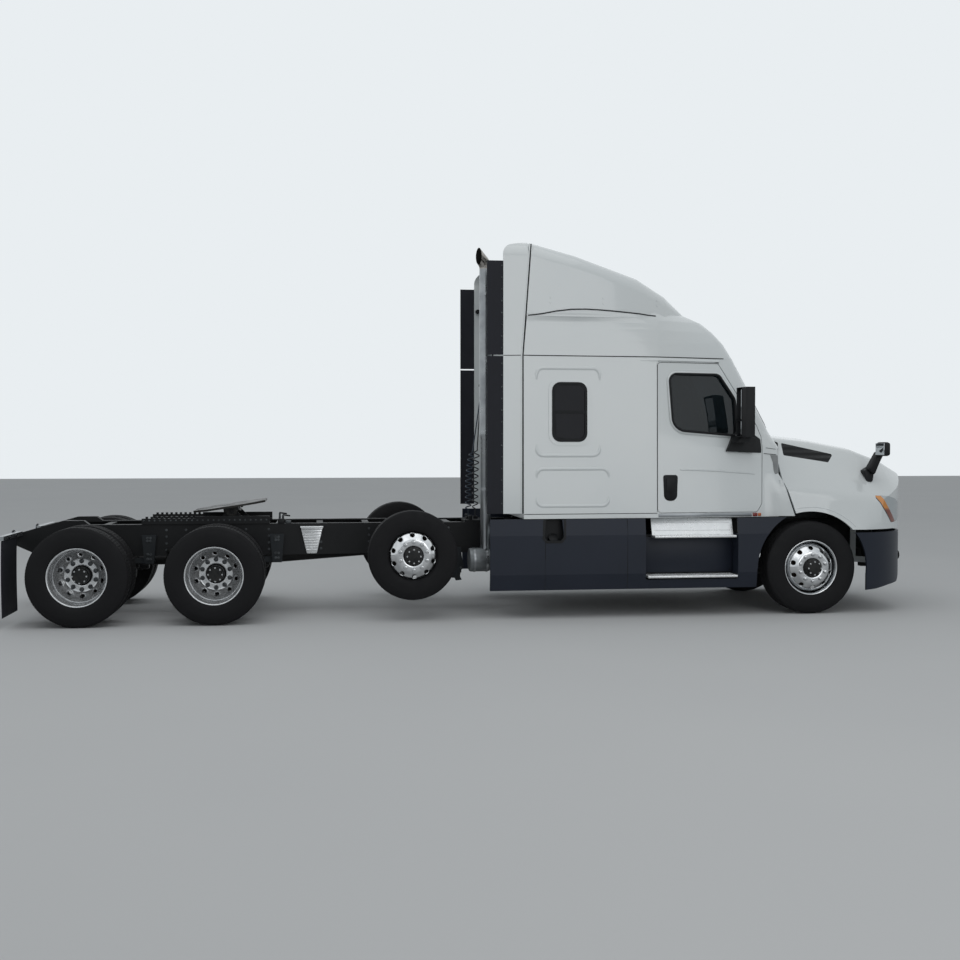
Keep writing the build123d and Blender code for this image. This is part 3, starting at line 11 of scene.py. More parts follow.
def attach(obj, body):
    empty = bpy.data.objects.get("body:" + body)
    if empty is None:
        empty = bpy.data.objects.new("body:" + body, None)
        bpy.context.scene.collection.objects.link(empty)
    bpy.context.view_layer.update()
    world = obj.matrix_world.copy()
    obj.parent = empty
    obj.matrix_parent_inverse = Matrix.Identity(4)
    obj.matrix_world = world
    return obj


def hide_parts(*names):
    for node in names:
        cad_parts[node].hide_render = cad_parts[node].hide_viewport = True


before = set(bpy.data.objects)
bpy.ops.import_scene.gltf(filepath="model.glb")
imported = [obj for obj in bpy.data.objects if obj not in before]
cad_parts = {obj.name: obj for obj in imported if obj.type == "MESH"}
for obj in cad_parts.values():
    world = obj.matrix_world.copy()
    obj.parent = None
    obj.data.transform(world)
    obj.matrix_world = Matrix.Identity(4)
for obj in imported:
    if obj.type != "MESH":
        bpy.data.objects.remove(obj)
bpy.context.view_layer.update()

# The camera stands at the roadside by the truck's middle, at a standing person's eye height,
# where the photograph was taken.
camera_view = bpy.data.cameras.new("roadside_camera")
camera_view.sensor_width = 36
camera_view.lens = 45.37
camera_view.clip_end = 300
camera = bpy.data.objects.new("roadside_camera", camera_view)
camera.location = (-1.7065, -13.455, 1.767)
camera.rotation_euler = (math.radians(90 - 1.493), 0, math.radians(-7.741))
bpy.context.scene.collection.objects.link(camera)
bpy.context.scene.camera = camera

# The two trailer air lines: curly nylon hoses that hang from the pole's hook behind the sleeper and
# end in sockets on the shelf. Each is one cord: straight from the hook, coiled, and straight at its foot.
hose_bore = 0.013
hook_height = 2.45
coil_radius = 0.0305
turn_points = 14
air_lines = {
    "front": (-0.170, 0.1125, (0.0675, 1.760), (0.045, 1.415), 9, "#17181A", "#26282B", 2.5),
    "rear": (-0.230, 0.1125, (0.0075, 1.730), (-0.03975, 1.406), 11, "#1B2733", "#2C3C4C", 2.85),
}


def linear(code):
    """The linear colour of an sRGB hex value."""
    parts = [int(code[i:i + 2], 16) / 255 for i in (1, 3, 5)]
    return [p / 12.92 if p <= 0.04045 else ((p + 0.055) / 1.055) ** 2.4 for p in parts] + [1]


def add(finish, kind, feeds=(), **settings):
    """Adds a node to a finish; each feed is a value, or the socket that feeds it."""
    node = finish.node_tree.nodes.new("ShaderNode" + kind)
    for name, value in settings.items():
        setattr(node, name, value)
    for name, value in dict(feeds).items():
        if isinstance(value, bpy.types.NodeSocket):
            finish.node_tree.links.new(value, node.inputs[name])
        else:
            node.inputs[name].default_value = value
    return node


# Patches and grains are real sizes in mm. A grain that is finer than 1.5 mm in life is drawn at 1.5
# to 5 mm, as coarse as it needs to be to show at all.
def surface(name, main, second, rough, patch=400, grain=3, relief=0.2, **sockets):
    """A finish that drifts between two colours over patches, with a fine grain, both given in mm."""
    finish = bpy.data.materials.new(name)
    finish.use_nodes = True
    finish.diffuse_color = linear(main)
    shader = finish.node_tree.nodes["Principled BSDF"]
    place = add(finish, "TexCoord").outputs["Object"]
    drift = add(finish, "TexNoise", {"Vector": place, "Scale": 1000 / patch, "Detail": 4})
    share = add(finish, "MapRange", {"Value": drift.outputs["Fac"], "From Min": 0.35, "From Max": 0.65})
    tone = add(finish, "Mix", {0: share.outputs[0], 6: linear(main), 7: linear(second)}, data_type="RGBA")
    fine = add(finish, "TexNoise", {"Vector": place, "Scale": 1000 / grain, "Detail": 2})
    gloss = add(finish, "MapRange", {"Value": drift.outputs["Fac"], "From Min": 0.3, "From Max": 0.7,
                                     "To Min": rough[0], "To Max": rough[1]})
    bump = add(finish, "Bump", {"Strength": relief, "Distance": grain / 3000, "Height": fine.outputs["Fac"]})
    feeds = {"Base Color": tone.outputs[2], "Roughness": gloss.outputs[0], "Normal": bump.outputs["Normal"]}
    for socket, value in feeds.items():
        finish.node_tree.links.new(value, shader.inputs[socket])
    for socket, value in sockets.items():
        shader.inputs[socket.replace("_", " ")].default_value = value
    return finish


def show(name, data, body, *finishes, stands_for=()):
    """Makes a mesh or curve a piece that rides on a body and stands for the given CAD nodes."""
    made = bpy.data.objects.new(name, data)
    bpy.context.scene.collection.objects.link(made)
    for finish in finishes:
        data.materials.append(finish)
    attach(made, body)
    if stands_for:
        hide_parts(*stands_for)
    return made


def spline_curve(name, points, radius):
    """A smooth NURBS curve through its control points, with a round section where it has a radius."""
    curve = bpy.data.curves.new(name, "CURVE")
    curve.dimensions = "3D"
    curve.resolution_u = 4
    curve.bevel_depth = radius
    curve.bevel_resolution = 3
    curve.use_fill_caps = True
    line = curve.splines.new("NURBS")
    line.points.add(len(points) - 1)
    for control, place in zip(line.points, points):
        control.co = (*place, 1)
    line.order_u = 3
    line.use_endpoint_u = True
    return curve


for name, (y, hook_x, coil_top, bend, turns, main, second, length) in air_lines.items():
    route = [
        Vector((hook_x, y, hook_height)),
        Vector((coil_top[0], y, coil_top[1])),
        Vector((bend[0], y, bend[1])),
        Vector((bend[0], y, 1.08)),
        Vector((bend[0], y, 1.02)),
    ]
    guide = bpy.data.objects.new("guide", spline_curve("guide", route, 0))
    guide.data.resolution_u = 64
    middle = [vertex.co.copy() for vertex in bpy.data.meshes.new_from_object(guide).vertices]
    middle = [point for point in middle if 1.082 < point.z < coil_top[1]]
    steps = turns * turn_points
    hose = route[:1] + [route[0].lerp(route[1], 0.5)]
    for step in range(steps + 1):
        along = middle[round(step / steps * (len(middle) - 1))]
        height = coil_top[1] + (1.082 - coil_top[1]) * step / steps
        swell = coil_radius * min(1, step / turn_points * 2, (steps - step) / turn_points * 2)
        angle = 2 * math.pi * step / turn_points
        hose.append(Vector((along.x + swell * math.cos(angle), y + swell * math.sin(angle), height)))
    hose.append(Vector((bend[0], y, 1.05)))
    hose.append(route[-1])
    # Extruded nylon: smooth and faintly shiny, black in front and dusty blue behind.
    nylon = surface(f"extruded_nylon_{name}", main, second, (0.35, 0.55), 60, 2, 0.1)
    curve = spline_curve(f"air_line_{name}", hose, hose_bore / 2)
    line = show(f"air_line_{name}", curve, "chassis_and_cab", nylon,
                stands_for=(f"air_lead_{name}", f"air_coil_{name}"))

# A plain pale studio: a floor that keeps the shadow, and a white surround that the camera, mirrors
# and glass see whole, and that lights the truck at half its strength beside two lamps.
floor_form = bmesh.new()
bmesh.ops.create_grid(floor_form, x_segments=1, y_segments=1, size=60)
floor_mesh = bpy.data.meshes.new("studio_floor")
floor_form.to_mesh(floor_mesh)
floor_form.free()
floor = bpy.data.objects.new("studio_floor", floor_mesh)
bpy.context.scene.collection.objects.link(floor)
# Studio paper: a dull pale grey that drifts between two tones over patches of 3.3 m.
paper = bpy.data.materials.new("floor_paper")
paper.use_nodes = True
paper_shader = paper.node_tree.nodes["Principled BSDF"]
paper_place = add(paper, "TexCoord").outputs["Object"]
paper_drift = add(paper, "TexNoise", {"Vector": paper_place, "Scale": 1 / 3.3})
paper_tone = add(paper, "Mix", {0: paper_drift.outputs["Fac"], 6: linear("#C9CACB"), 7: linear("#CFD0D0")},
                 data_type="RGBA")
paper.node_tree.links.new(paper_tone.outputs[2], paper_shader.inputs["Base Color"])
paper_shader.inputs["Roughness"].default_value = 0.9
paper_shader.inputs["Specular IOR Level"].default_value = 0.1
floor_mesh.materials.append(paper)

bpy.context.scene.view_settings.view_transform = "Standard"
world = bpy.data.worlds.new("studio_light")
world.use_nodes = True
bpy.context.scene.world = world
background = world.node_tree.nodes["Background"]
background.inputs["Color"].default_value = linear("#E9EEF1")
seen = add(world, "LightPath")
watched = add(world, "Math", {0: seen.outputs["Is Camera Ray"], 1: seen.outputs["Is Transmission Ray"]},
              operation="ADD", use_clamp=True)
mirrored = add(world, "Math", {0: watched.outputs[0], 1: seen.outputs["Is Glossy Ray"]},
               operation="ADD", use_clamp=True)
level = add(world, "MapRange", {"Value": mirrored.outputs[0], "To Min": 0.5, "To Max": 1.0})
world.node_tree.links.new(level.outputs[0], background.inputs["Strength"])
for name, place, aim, power, size in (
    ("sky_panel", (-1, -5, 12), (0, 0, 0), 350, 14),
    ("side_panel", (5, -15, 4.5), (0.5, 0, 1.2), 215, 8),
):
    lamp = bpy.data.lights.new(name, "AREA")
    lamp.energy = power
    lamp.size = size
    light = bpy.data.objects.new(name, lamp)
    light.location = place
    light.rotation_euler = (Vector(aim) - Vector(place)).to_track_quat("-Z", "Y").to_euler()
    bpy.context.scene.collection.objects.link(light)

# The cab's skin: pressed aluminium and moulded panels, riveted and bonded, in white enamel.
# The doors, hood, roof cap and fairing carry the same enamel.
# White enamel under clear lacquer: even and bright, with long soft reflections.
body_enamel = surface("white_enamel", "#D9DDDD", "#D4D9DA", (0.16, 0.22), 1500, 2, 0.02,
                      Coat_Weight=0.6, Coat_Roughness=0.06)


def eased(node, sharpen=30):
    """A CAD node's mesh as a bmesh, its triangles joined into faces and its shallow edges smooth."""
    form = bmesh.new()
    form.from_mesh(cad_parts[node].data)
    bmesh.ops.remove_doubles(form, verts=form.verts, dist=0.0002)
    bmesh.ops.dissolve_limit(form, angle_limit=math.radians(0.5), verts=form.verts, edges=form.edges)
    smooth(form, sharpen)
    known = form.faces.layers.int.new("known")
    for face in form.faces:
        face[known] = 1
    return form


def smooth(form, sharpen=30):
    """Smooths every face and keeps the edges that turn more than the angle sharp."""
    for face in form.faces:
        face.smooth = True
    for edge in form.edges:
        edge.smooth = edge.calc_face_angle(0) < math.radians(sharpen)


def as_mesh(form, name, turn_out=False):
    """A finished bmesh as mesh data."""
    if turn_out:
        bmesh.ops.recalc_face_normals(form, faces=form.faces)
    known = form.faces.layers.int.get("known")
    if known:
        form.faces.layers.int.remove(known)
    mesh = bpy.data.meshes.new(name)
    form.to_mesh(mesh)
    form.free()
    return mesh


def round_edges(made, width, angle=40):
    """Rounds a piece's sharp edges."""
    rounding = made.modifiers.new("rounded_edges", "BEVEL")
    rounding.width = width
    rounding.segments = 2
    rounding.limit_method = "ANGLE"
    rounding.angle_limit = math.radians(angle)
    rounding.harden_normals = True


# The extenders' top rear corner is cut round by planes about this middle.
corner_middle = Vector((0.322, 0, 3.760))
corner_radius = 0.116
for node, body in {
    "cab_shell": "chassis_and_cab",
    "cab_roof": "chassis_and_cab",
    "roof_fairing": "chassis_and_cab",
    "side_extenders": "chassis_and_cab",
    "hood_shell": "hood",
    "door_right": "door_right",
    "door_left": "door_left",
}.items():
    form = eased(node)
    if node == "side_extenders":
        for angle in (102, 120, 138, 156, 172):
            way = Vector((math.cos(math.radians(angle)), 0, math.sin(math.radians(angle))))
            whole = form.verts[:] + form.edges[:] + form.faces[:]
            cut = bmesh.ops.bisect_plane(form, geom=whole, plane_co=corner_middle + way * corner_radius,
                                         plane_no=way, clear_outer=True)["geom_cut"]
            bmesh.ops.holes_fill(form, edges=[part for part in cut if isinstance(part, bmesh.types.BMEdge)])
        smooth(form)
    skin = show(f"{node}_skin", as_mesh(form, node), body, body_enamel, stands_for=(node,))
    round_edges(skin, 0.003, 60)

# The cab's glass: a laminated windscreen and tempered side panes, tinted, each bonded in behind a
# black rubber gasket that covers its edge. The door panes ride with their doors.
# Tinted safety glass: dark grey-green, clear enough to show the seats behind it.
tinted_glass = surface("tinted_safety_glass", "#3D484D", "#384348", (0.02, 0.04), 900, 8, 0.0,
                       Transmission_Weight=0.85, IOR=1.5, Specular_IOR_Level=0.3)
# Road dust takes part of the shine off every dark finish.
dusty = {"Specular_IOR_Level": 0.22}
# Extruded rubber: a dull black line with a little dust that frames each pane.
gasket_rubber = surface("extruded_epdm_rubber", "#17181A", "#1F2022", (0.55, 0.7), 120, 2, 0.15, **dusty)


def gasket_form(node, facing, width, stand):
    """A frame round a pane's outer face, standing off it."""
    form = eased(node)
    inner = [face for face in form.faces if not any(face.normal.dot(way) > 0.35 for way in facing)]
    bmesh.ops.delete(form, geom=inner, context="FACES")
    bmesh.ops.dissolve_limit(form, angle_limit=math.radians(12), verts=form.verts, edges=form.edges)
    ring = bmesh.ops.inset_region(form, faces=form.faces, thickness=width, use_boundary=True,
                                  use_even_offset=True)["faces"]
    panes = [face for face in form.faces if face not in ring]
    bmesh.ops.delete(form, geom=panes, context="FACES")
    bmesh.ops.solidify(form, geom=form.faces[:], thickness=-stand)
    smooth(form)
    return form


sideways = (Vector((0, 1, 0)), Vector((0, -1, 0)))
for node, body, ways, width, stand in (
    ("cab_glass", "chassis_and_cab", (*sideways, Vector((1, 0, 0))), 0.025, 0.005),
    ("door_glass_right", "door_right", sideways[1:], 0.012, 0.011),
    ("door_glass_left", "door_left", sideways[:1], 0.012, 0.011),
):
    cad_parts[node].data.materials.clear()
    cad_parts[node].data.materials.append(tinted_glass)
    show(f"{node}_gasket", as_mesh(gasket_form(node, ways, width, stand), f"{node}_gasket", True), body,
         gasket_rubber)

# The sleeper's side: pressed ribs round the window and a lower locker panel, stamped into the skin.
# The shapes that this trim and later pieces are made of, such as bars, rods and plates, come first.
def tag_new(form, finish):
    """Gives the faces made since the last call their finish, and marks them as known."""
    known = form.faces.layers.int.get("known") or form.faces.layers.int.new("known")
    for face in form.faces:
        if not face[known]:
            face.material_index = finish
            face[known] = 1


def soften(form, vertices, ease, segments=2):
    """Rounds all the edges that meet the given corners."""
    edges = list({edge for vertex in vertices for edge in vertex.link_edges})
    bmesh.ops.bevel(form, geom=edges, offset=ease, segments=segments, profile=0.5, affect="EDGES",
                    material=-1)


def bar(form, low, high, ease=0.003, finish=0, turn=None):
    """A block between two corners with eased edges, turned about its middle if asked."""
    low, high = Vector(low), Vector(high)
    place = Matrix.LocRotScale((low + high) / 2, turn, [max(abs(part), 1e-4) for part in high - low])
    made = bmesh.ops.create_cube(form, size=1, matrix=place)
    if ease:
        soften(form, made["verts"], ease)
    tag_new(form, finish)


def rod(form, start, end, radius, sides=20, finish=0, top=None, ease=0.0):
    """A round bar, cone or prism from one point to another."""
    start, end = Vector(start), Vector(end)
    place = Matrix.LocRotScale((start + end) / 2, (end - start).to_track_quat("Z", "Y"), None)
    made = bmesh.ops.create_cone(form, cap_ends=True, segments=sides, radius1=radius,
                                 radius2=radius if top is None else top, depth=(end - start).length,
                                 matrix=place)
    if ease:
        caps = {face for vertex in made["verts"] for face in vertex.link_faces if len(face.verts) == sides}
        rims = list({edge for face in caps for edge in face.edges})
        bmesh.ops.bevel(form, geom=rims, offset=ease, segments=2, profile=0.5, affect="EDGES", material=-1)
    tag_new(form, finish)


def strand(form, points, radius, sides=10, finish=0):
    """Round bars end to end along places."""
    for start, end in zip(points, points[1:]):
        rod(form, start, end, radius, sides, finish)


def turned(form, profile, place=(0, 0, 0), axis=(0, 1, 0), steps=48, finish=0):
    """A shape turned round an axis from pairs of distance along it and radius."""
    axis, place = Vector(axis).normalized(), Vector(place)
    side = axis.orthogonal().normalized()
    line = [form.verts.new(place + axis * along + side * radius) for along, radius in profile]
    edges = [form.edges.new(pair) for pair in zip(line, line[1:])]
    bmesh.ops.spin(form, geom=line + edges, cent=place, axis=axis, dvec=(0, 0, 0), angle=2 * math.pi,
                   steps=steps, use_merge=True, use_duplicate=False)
    poles = [vertex for vertex in form.verts if (vertex.co - place).cross(axis).length < 1e-5]
    bmesh.ops.remove_doubles(form, verts=poles, dist=1e-5)
    tag_new(form, finish)


def weave(form, rows, closed=False):
    """Faces between rows of points, each row joined end to end if closed."""
    for low, high in zip(rows, rows[1:]):
        for index in range(len(low) if closed else len(low) - 1):
            after = (index + 1) % len(low)
            form.faces.new((low[index], low[after], high[after], high[index]))


def beam(form, start, end, wide, high, finish=0, ease=0.001):
    """A rectangular strip from one point to another, its height kept upright."""
    start, end = Vector(start), Vector(end)
    turn = (end - start).to_track_quat("X", "Z")
    place = Matrix.LocRotScale((start + end) / 2, turn, ((end - start).length, wide, high))
    made = bmesh.ops.create_cube(form, size=1, matrix=place)
    if ease:
        soften(form, made["verts"], ease, 1)
    tag_new(form, finish)


def bolt(form, place, way, size=0.012, finish=0):
    """A hexagon head on its washer."""
    place, way = Vector(place), Vector(way).normalized()
    rod(form, place, place + way * size * 0.25, size * 1.25, 12, finish)
    rod(form, place, place + way * size * 0.9, size, 6, finish)


def circle(count, radius, start=0.0):
    """Places round a circle, as pairs, the first a share of a step round it."""
    turns = [2 * math.pi * (index + start) / count for index in range(count)]
    return [(radius * math.cos(turn), radius * math.sin(turn)) for turn in turns]


def plate(form, outline, near, far, finish=0, ease=0.0, run=(0, 1, 0)):
    """A plate cut to an outline, between two distances across it; a side view unless told otherwise."""
    run = Vector(run)
    base = form.faces.new([form.verts.new(lay_flat(point, run) + run * near) for point in outline])
    made = bmesh.ops.extrude_face_region(form, geom=[base])["geom"]
    moved = [part for part in made if isinstance(part, bmesh.types.BMVert)]
    bmesh.ops.translate(form, vec=run * (far - near), verts=moved)
    if ease:
        soften(form, moved, ease)
    tag_new(form, finish)


def lay_flat(point, run):
    """The place of a drawing's point: (x, z), (y, z) or (x, y), by the way the plate runs."""
    first, second = point
    if abs(run.x) > 0.5:
        return Vector((0, first, second))
    return Vector((first, second, 0)) if abs(run.z) > 0.5 else Vector((first, 0, second))


def skin_of(*nodes):
    """A search tree of CAD nodes, which finds the place of their skin."""
    places, faces = [], []
    for node in nodes:
        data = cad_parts[node].data
        start = len(places)
        places += [vertex.co.copy() for vertex in data.vertices]
        faces += [[start + index for index in face.vertices] for face in data.polygons]
    return BVHTree.FromPolygons(places, faces)


def side_of(tree, x, z, start=-3, missing=None):
    """Where a level line across the truck, from its right, first meets a skin."""
    met = tree.ray_cast(Vector((x, start, z)), Vector((0, 1, 0)))[0]
    return met.y if met else missing


def settle(form, tree, missing=1.1):
    """Moves a flat form onto the truck's right side: its y stays as the distance off the skin."""
    for vertex in form.verts:
        vertex.co.y = side_of(tree, vertex.co.x, vertex.co.z, missing=-missing) - vertex.co.y


def both_sides(form):
    """Adds a right-hand shape's mirror image on the truck's left."""
    bmesh.ops.mirror(form, geom=form.verts[:] + form.edges[:] + form.faces[:], axis="Y", merge_dist=-1)


def piece(name, form, *finishes, body="chassis_and_cab", twin=True, angle=30, outward=True, stands_for=()):
    """Shows a form as a piece: mirrored to the left and smoothed by an angle, unless told otherwise."""
    if twin:
        both_sides(form)
    if angle:
        smooth(form, angle)
    return show(name, as_mesh(form, name, outward), body, *finishes, stands_for=stands_for)


seam_z = 2.725
rear_x = 0.4175


def skin_y(x, z):
    """Half width of the cab's skin at a place along it, in its lower and upper part."""
    levels = ((1.04, 1.190, 1.150), (1.78, 1.178, 1.135), (1.94, 1.176, 1.132), (seam_z, 1.165, 1.120),
              (3.11, 1.152, 1.090))
    for (low, rear_low, door_low), (high, rear_high, door_high) in zip(levels, levels[1:]):
        if z <= high:
            share = (z - low) / (high - low)
            rear = rear_low + (rear_high - rear_low) * share
            door = door_low + (door_high - door_low) * share
            return rear + (door - rear) * (x - rear_x) / 1.432
    return rear_high


def skin_path(points, stand=0.0):
    """Points of the cab's right side from places along it and heights."""
    return [Vector((x, -skin_y(x, z) - stand, z)) for x, z in points]


def rounded_loop(low, high, radius, steps=5):
    """A rounded rectangle's points from two corners of a side view."""
    corners = ((high[0] - radius, high[1] - radius, 0), (low[0] + radius, high[1] - radius, 90),
               (low[0] + radius, low[1] + radius, 180), (high[0] - radius, low[1] + radius, 270))
    points = []
    for x, z, start in corners:
        for step in range(steps + 1):
            angle = math.radians(start + 90 * step / steps)
            points.append((x + radius * math.cos(angle), z + radius * math.sin(angle)))
    return points + points[:1]


def bead(form, points, wide, high, finish=0):
    """A bead of square section along a path on the skin."""
    for start, end in zip(points, points[1:]):
        beam(form, start, end, wide, high, finish, 0)


# Shadow in a joint: a flat grey-black that reads as depth between two panels. The same painted shadow lies
# under the drip rails.
gap_and_painted_shadow = surface("shadowed_panel_gap", "#26282A", "#1E2022", (0.7, 0.8), 200, 3, 0.1, **dusty)


def rib(form, points, half, height, taper=0.06):
    """A soft pressed rib along places of the skin: its y is the height off it, and its ends fade."""
    points = [Vector((x, 0, z)) for x, z in points]
    lengths = [0.0]
    for start, end in zip(points, points[1:]):
        lengths.append(lengths[-1] + (end - start).length)
    rows = []
    for index, place in enumerate(points):
        along = (points[min(index + 1, len(points) - 1)] - points[max(index - 1, 0)]).normalized()
        across = Vector((-along.z, 0, along.x))
        fade = min(1.0, lengths[index] / taper, (lengths[-1] - lengths[index]) / taper)
        rows.append([form.verts.new(place + across * half * share * (0.35 + 0.65 * fade)
                                    + Vector((0, height * fade * (1 - share * share) ** 1.5 - 0.0004, 0)))
                     for share in (-1, -0.75, -0.45, -0.15, 0.15, 0.45, 0.75, 1)])
    weave(form, rows)
    tag_new(form, 0)


def flip(form):
    """Turns a right-hand shape into its left-hand twin."""
    bmesh.ops.scale(form, vec=(1, -1, 1), verts=form.verts)
    bmesh.ops.reverse_faces(form, faces=form.faces)


def rounded(corners, radii, steps=6):
    """An outline's points, each of its corners rounded to its own radius."""
    points = []
    for index, radius in enumerate(radii):
        corner = Vector(corners[index])
        back = (Vector(corners[index - 1]) - corner).normalized()
        ahead = (Vector(corners[(index + 1) % len(corners)]) - corner).normalized()
        half = back.angle(ahead) / 2
        middle = corner + (back + ahead).normalized() * radius / math.sin(half)
        spokes = [corner + way * radius / math.tan(half) - middle for way in (back, ahead)]
        points += [middle + spokes[0].lerp(spokes[1], step / steps).normalized() * radius
                   for step in range(steps + 1)]
    return points


def widened(points, distance):
    """A closed outline, listed rear, foot, front, top, moved outwards by a distance."""
    moved = []
    for index, place in enumerate(points):
        along = (Vector(points[(index + 1) % len(points)]) - Vector(points[index - 1])).normalized()
        moved.append((place[0] + along.y * distance, place[1] - along.x * distance))
    return moved


def ring_plate(form, outer, inner, near, far, finish=0):
    """A flat frame between two outlines with as many points each, of a given depth."""
    loops = [[form.verts.new((x, depth, z)) for x, z in line] for line, depth in
             ((outer, near), (outer, far), (inner, far), (inner, near))]
    weave(form, loops + loops[:1], True)
    tag_new(form, finish)


def arc_points(corner, radius, start, stop, steps=6):
    """Points round a corner of a side view."""
    return [(corner[0] + radius * math.cos(math.radians(start + (stop - start) * step / steps)),
             corner[1] + radius * math.sin(math.radians(start + (stop - start) * step / steps)))
            for step in range(steps + 1)]


def channel(low_x, high_x, level, drop):
    """A pressed channel's line: across at its level, and round its corners towards its ends."""
    radius = 0.07
    bend = math.copysign(radius, drop)
    left = arc_points((low_x + radius, level - bend), radius, 180, 90 if drop > 0 else 270)
    right = arc_points((high_x - radius, level - bend), radius, 90 if drop > 0 else 270,
                       0 if drop > 0 else 360)
    across = [(low_x + (high_x - low_x) * share, level) for share in (0.35, 0.5, 0.65)]
    return [(low_x, level - drop), *left, *across, *right, (high_x, level - drop)]


cab_skin = skin_of("cab_shell", "door_right")
ribs = bmesh.new()
for low_x, high_x, level, drop in (
    (0.552, 1.222, 2.598, 0.13), (0.552, 1.222, 1.694, -0.12), (0.552, 1.318, 1.556, 0.10),
    (0.552, 1.318, 1.172, -0.10),
):
    rib(ribs, channel(low_x, high_x, level, drop), 0.021, 0.0085)
settle(ribs, cab_skin)
piece("sleeper_ribs", ribs, body_enamel, angle=180)

# The sleeper window's surround: a moulded white frame with round corners over the pane's opening,
# and the black rubber ring in it.
pane_frame = bmesh.new()
ring_plate(pane_frame, rounded_loop((0.678, 1.799), (1.123, 2.489), 0.115)[:-1],
           rounded_loop((0.718, 1.839), (1.083, 2.449), 0.085)[:-1], 0.0, 0.006, 0)
ring_plate(pane_frame, rounded_loop((0.714, 1.835), (1.087, 2.453), 0.088)[:-1],
           rounded_loop((0.742, 1.863), (1.059, 2.425), 0.070)[:-1], 0.002, 0.0115, 1)
for vertex in pane_frame.verts:
    vertex.co.y = -skin_y(vertex.co.x, vertex.co.z) - vertex.co.y
piece("sleeper_pane_frames", pane_frame, body_enamel, gasket_rubber)

# Panel seams: the dark gaps at the roof cap, the door and the sill, and the rear pillar's dark line
# with the white moulding ahead of it. Each is a thin bead laid into the joint between two panels.
seams = bmesh.new()
bead(seams, skin_path([(0.4185, seam_z), (1.8495, seam_z)], 0.0005), 0.003, 0.009)
bead(seams, [Vector((1.8495, -1.1205, seam_z)), Vector((2.62, -0.956, seam_z))], 0.003, 0.009)
bead(seams, skin_path([(1.842, 1.10), (1.842, 2.66)], 0.0005), 0.003, 0.004)
bead(seams, skin_path([(0.4185, 1.088), (1.842, 1.088)], 0.0005), 0.003, 0.006)
pillar_front = [(0.404, 1.094), (0.404, seam_z), (0.4825, 3.799), (0.489, 3.868)]
pillar_rear = [(0.476, 3.868), (0.4695, 3.799), (0.391, seam_z), (0.391, 1.094)]
for shift, depth, finish in ((0.0125, -1.156, 0), (0.0, -1.1585, 1)):
    plate(seams, [(x + shift, z) for x, z in pillar_rear[3:] + pillar_front + pillar_rear[:3]], depth,
          -1.112, finish)
bead(seams, [Vector((0.207, -1.1655, 2.722)), Vector((0.389, -1.1655, seam_z))], 0.002, 0.007)
piece("cab_seams", seams, gap_and_painted_shadow, body_enamel, angle=None, outward=False)

# The drip rail over each door: a pressed aluminium lip in the cab's white, bonded along the roof's edge
# so that it grows out of the skin, with a dark strip of painted shadow under it.
drip = bmesh.new()
columns = [1.66 + 0.05 * step for step in range(19)]
lip_section = ((0.0, 2.716), (0.006, 2.706), (0.0125, 2.692), (0.0115, 2.686), (0.0, 2.684))
shadow_section = ((0.001, 2.685), (0.004, 2.684), (0.004, 2.673), (0.001, 2.672))
for finish, section, first_x in ((0, lip_section, 1.6), (1, shadow_section, 1.83)):
    weave(drip, [[drip.verts.new((x, stand * min(1, (x - 1.645) / 0.17), z)) for x in columns if x > first_x]
                 for stand, z in section])
    tag_new(drip, finish)
settle(drip, cab_skin)
piece("drip_rails", drip, body_enamel, gap_and_painted_shadow, angle=40)

# The sleeper window's pane of dark privacy glass, bonded in its rubber ring, and the rubber-covered
# bar across it, where its lower half slides.
bars = bmesh.new()
beam(bars, (0.733, -1.159, 2.145), (1.068, -1.159, 2.145), 0.014, 0.03)
plate(bars, [(0.745, 1.866), (1.056, 1.866), (1.056, 2.422), (0.745, 2.422)], -1.1555, -1.157, 1)
# Privacy glass: nearly black, with only a faint shine.
privacy_glass = surface("dark_privacy_glass", "#12141A", "#15171D", (0.04, 0.07), 300, 4, 0.0,
                        Specular_IOR_Level=0.12)
piece("sleeper_window_bars", bars, gasket_rubber, privacy_glass, angle=None, outward=False)

# The door windows' rings: extruded rubber, pushed onto the opening's edge, with rounder corners than
# the panes have. A moulded white filler closes the door's skin behind each ring.
pane_corners = [(1.9775, 2.552), (2.022, 1.960), (2.7445, 1.904), (2.7325, 2.291), (2.5545, 2.552)]
pane_line = rounded(pane_corners, (0.080, 0.150, 0.050, 0.120, 0.075))
door_tree = skin_of("door_right")
samples = []
for place in widened(rounded(pane_corners, [0.04] * 5), 0.045):
    y = side_of(door_tree, *place)
    if y is not None:
        samples.append((*place, y))
terms = numpy.array([(1, x, z, x * x, z * z, x * z) for x, z, y in samples])
fair = numpy.linalg.lstsq(terms, numpy.array([y for x, z, y in samples]), rcond=None)[0]
for side in ("right", "left"):
    rings = bmesh.new()
    ring_plate(rings, widened(pane_line, 0.032), widened(pane_line, -0.004), -0.001, 0.0016, 0)
    ring_plate(rings, widened(pane_line, 0.012), widened(pane_line, -0.010), 0.0, 0.009, 1)
    for vertex in rings.verts:
        x, stand, z = vertex.co
        vertex.co.y = float(fair @ (1, x, z, x * x, z * z, x * z)) - stand
    if side == "left":
        flip(rings)
    piece(f"door_window_ring_{side}", rings, body_enamel, gasket_rubber, body=f"door_{side}", twin=False)

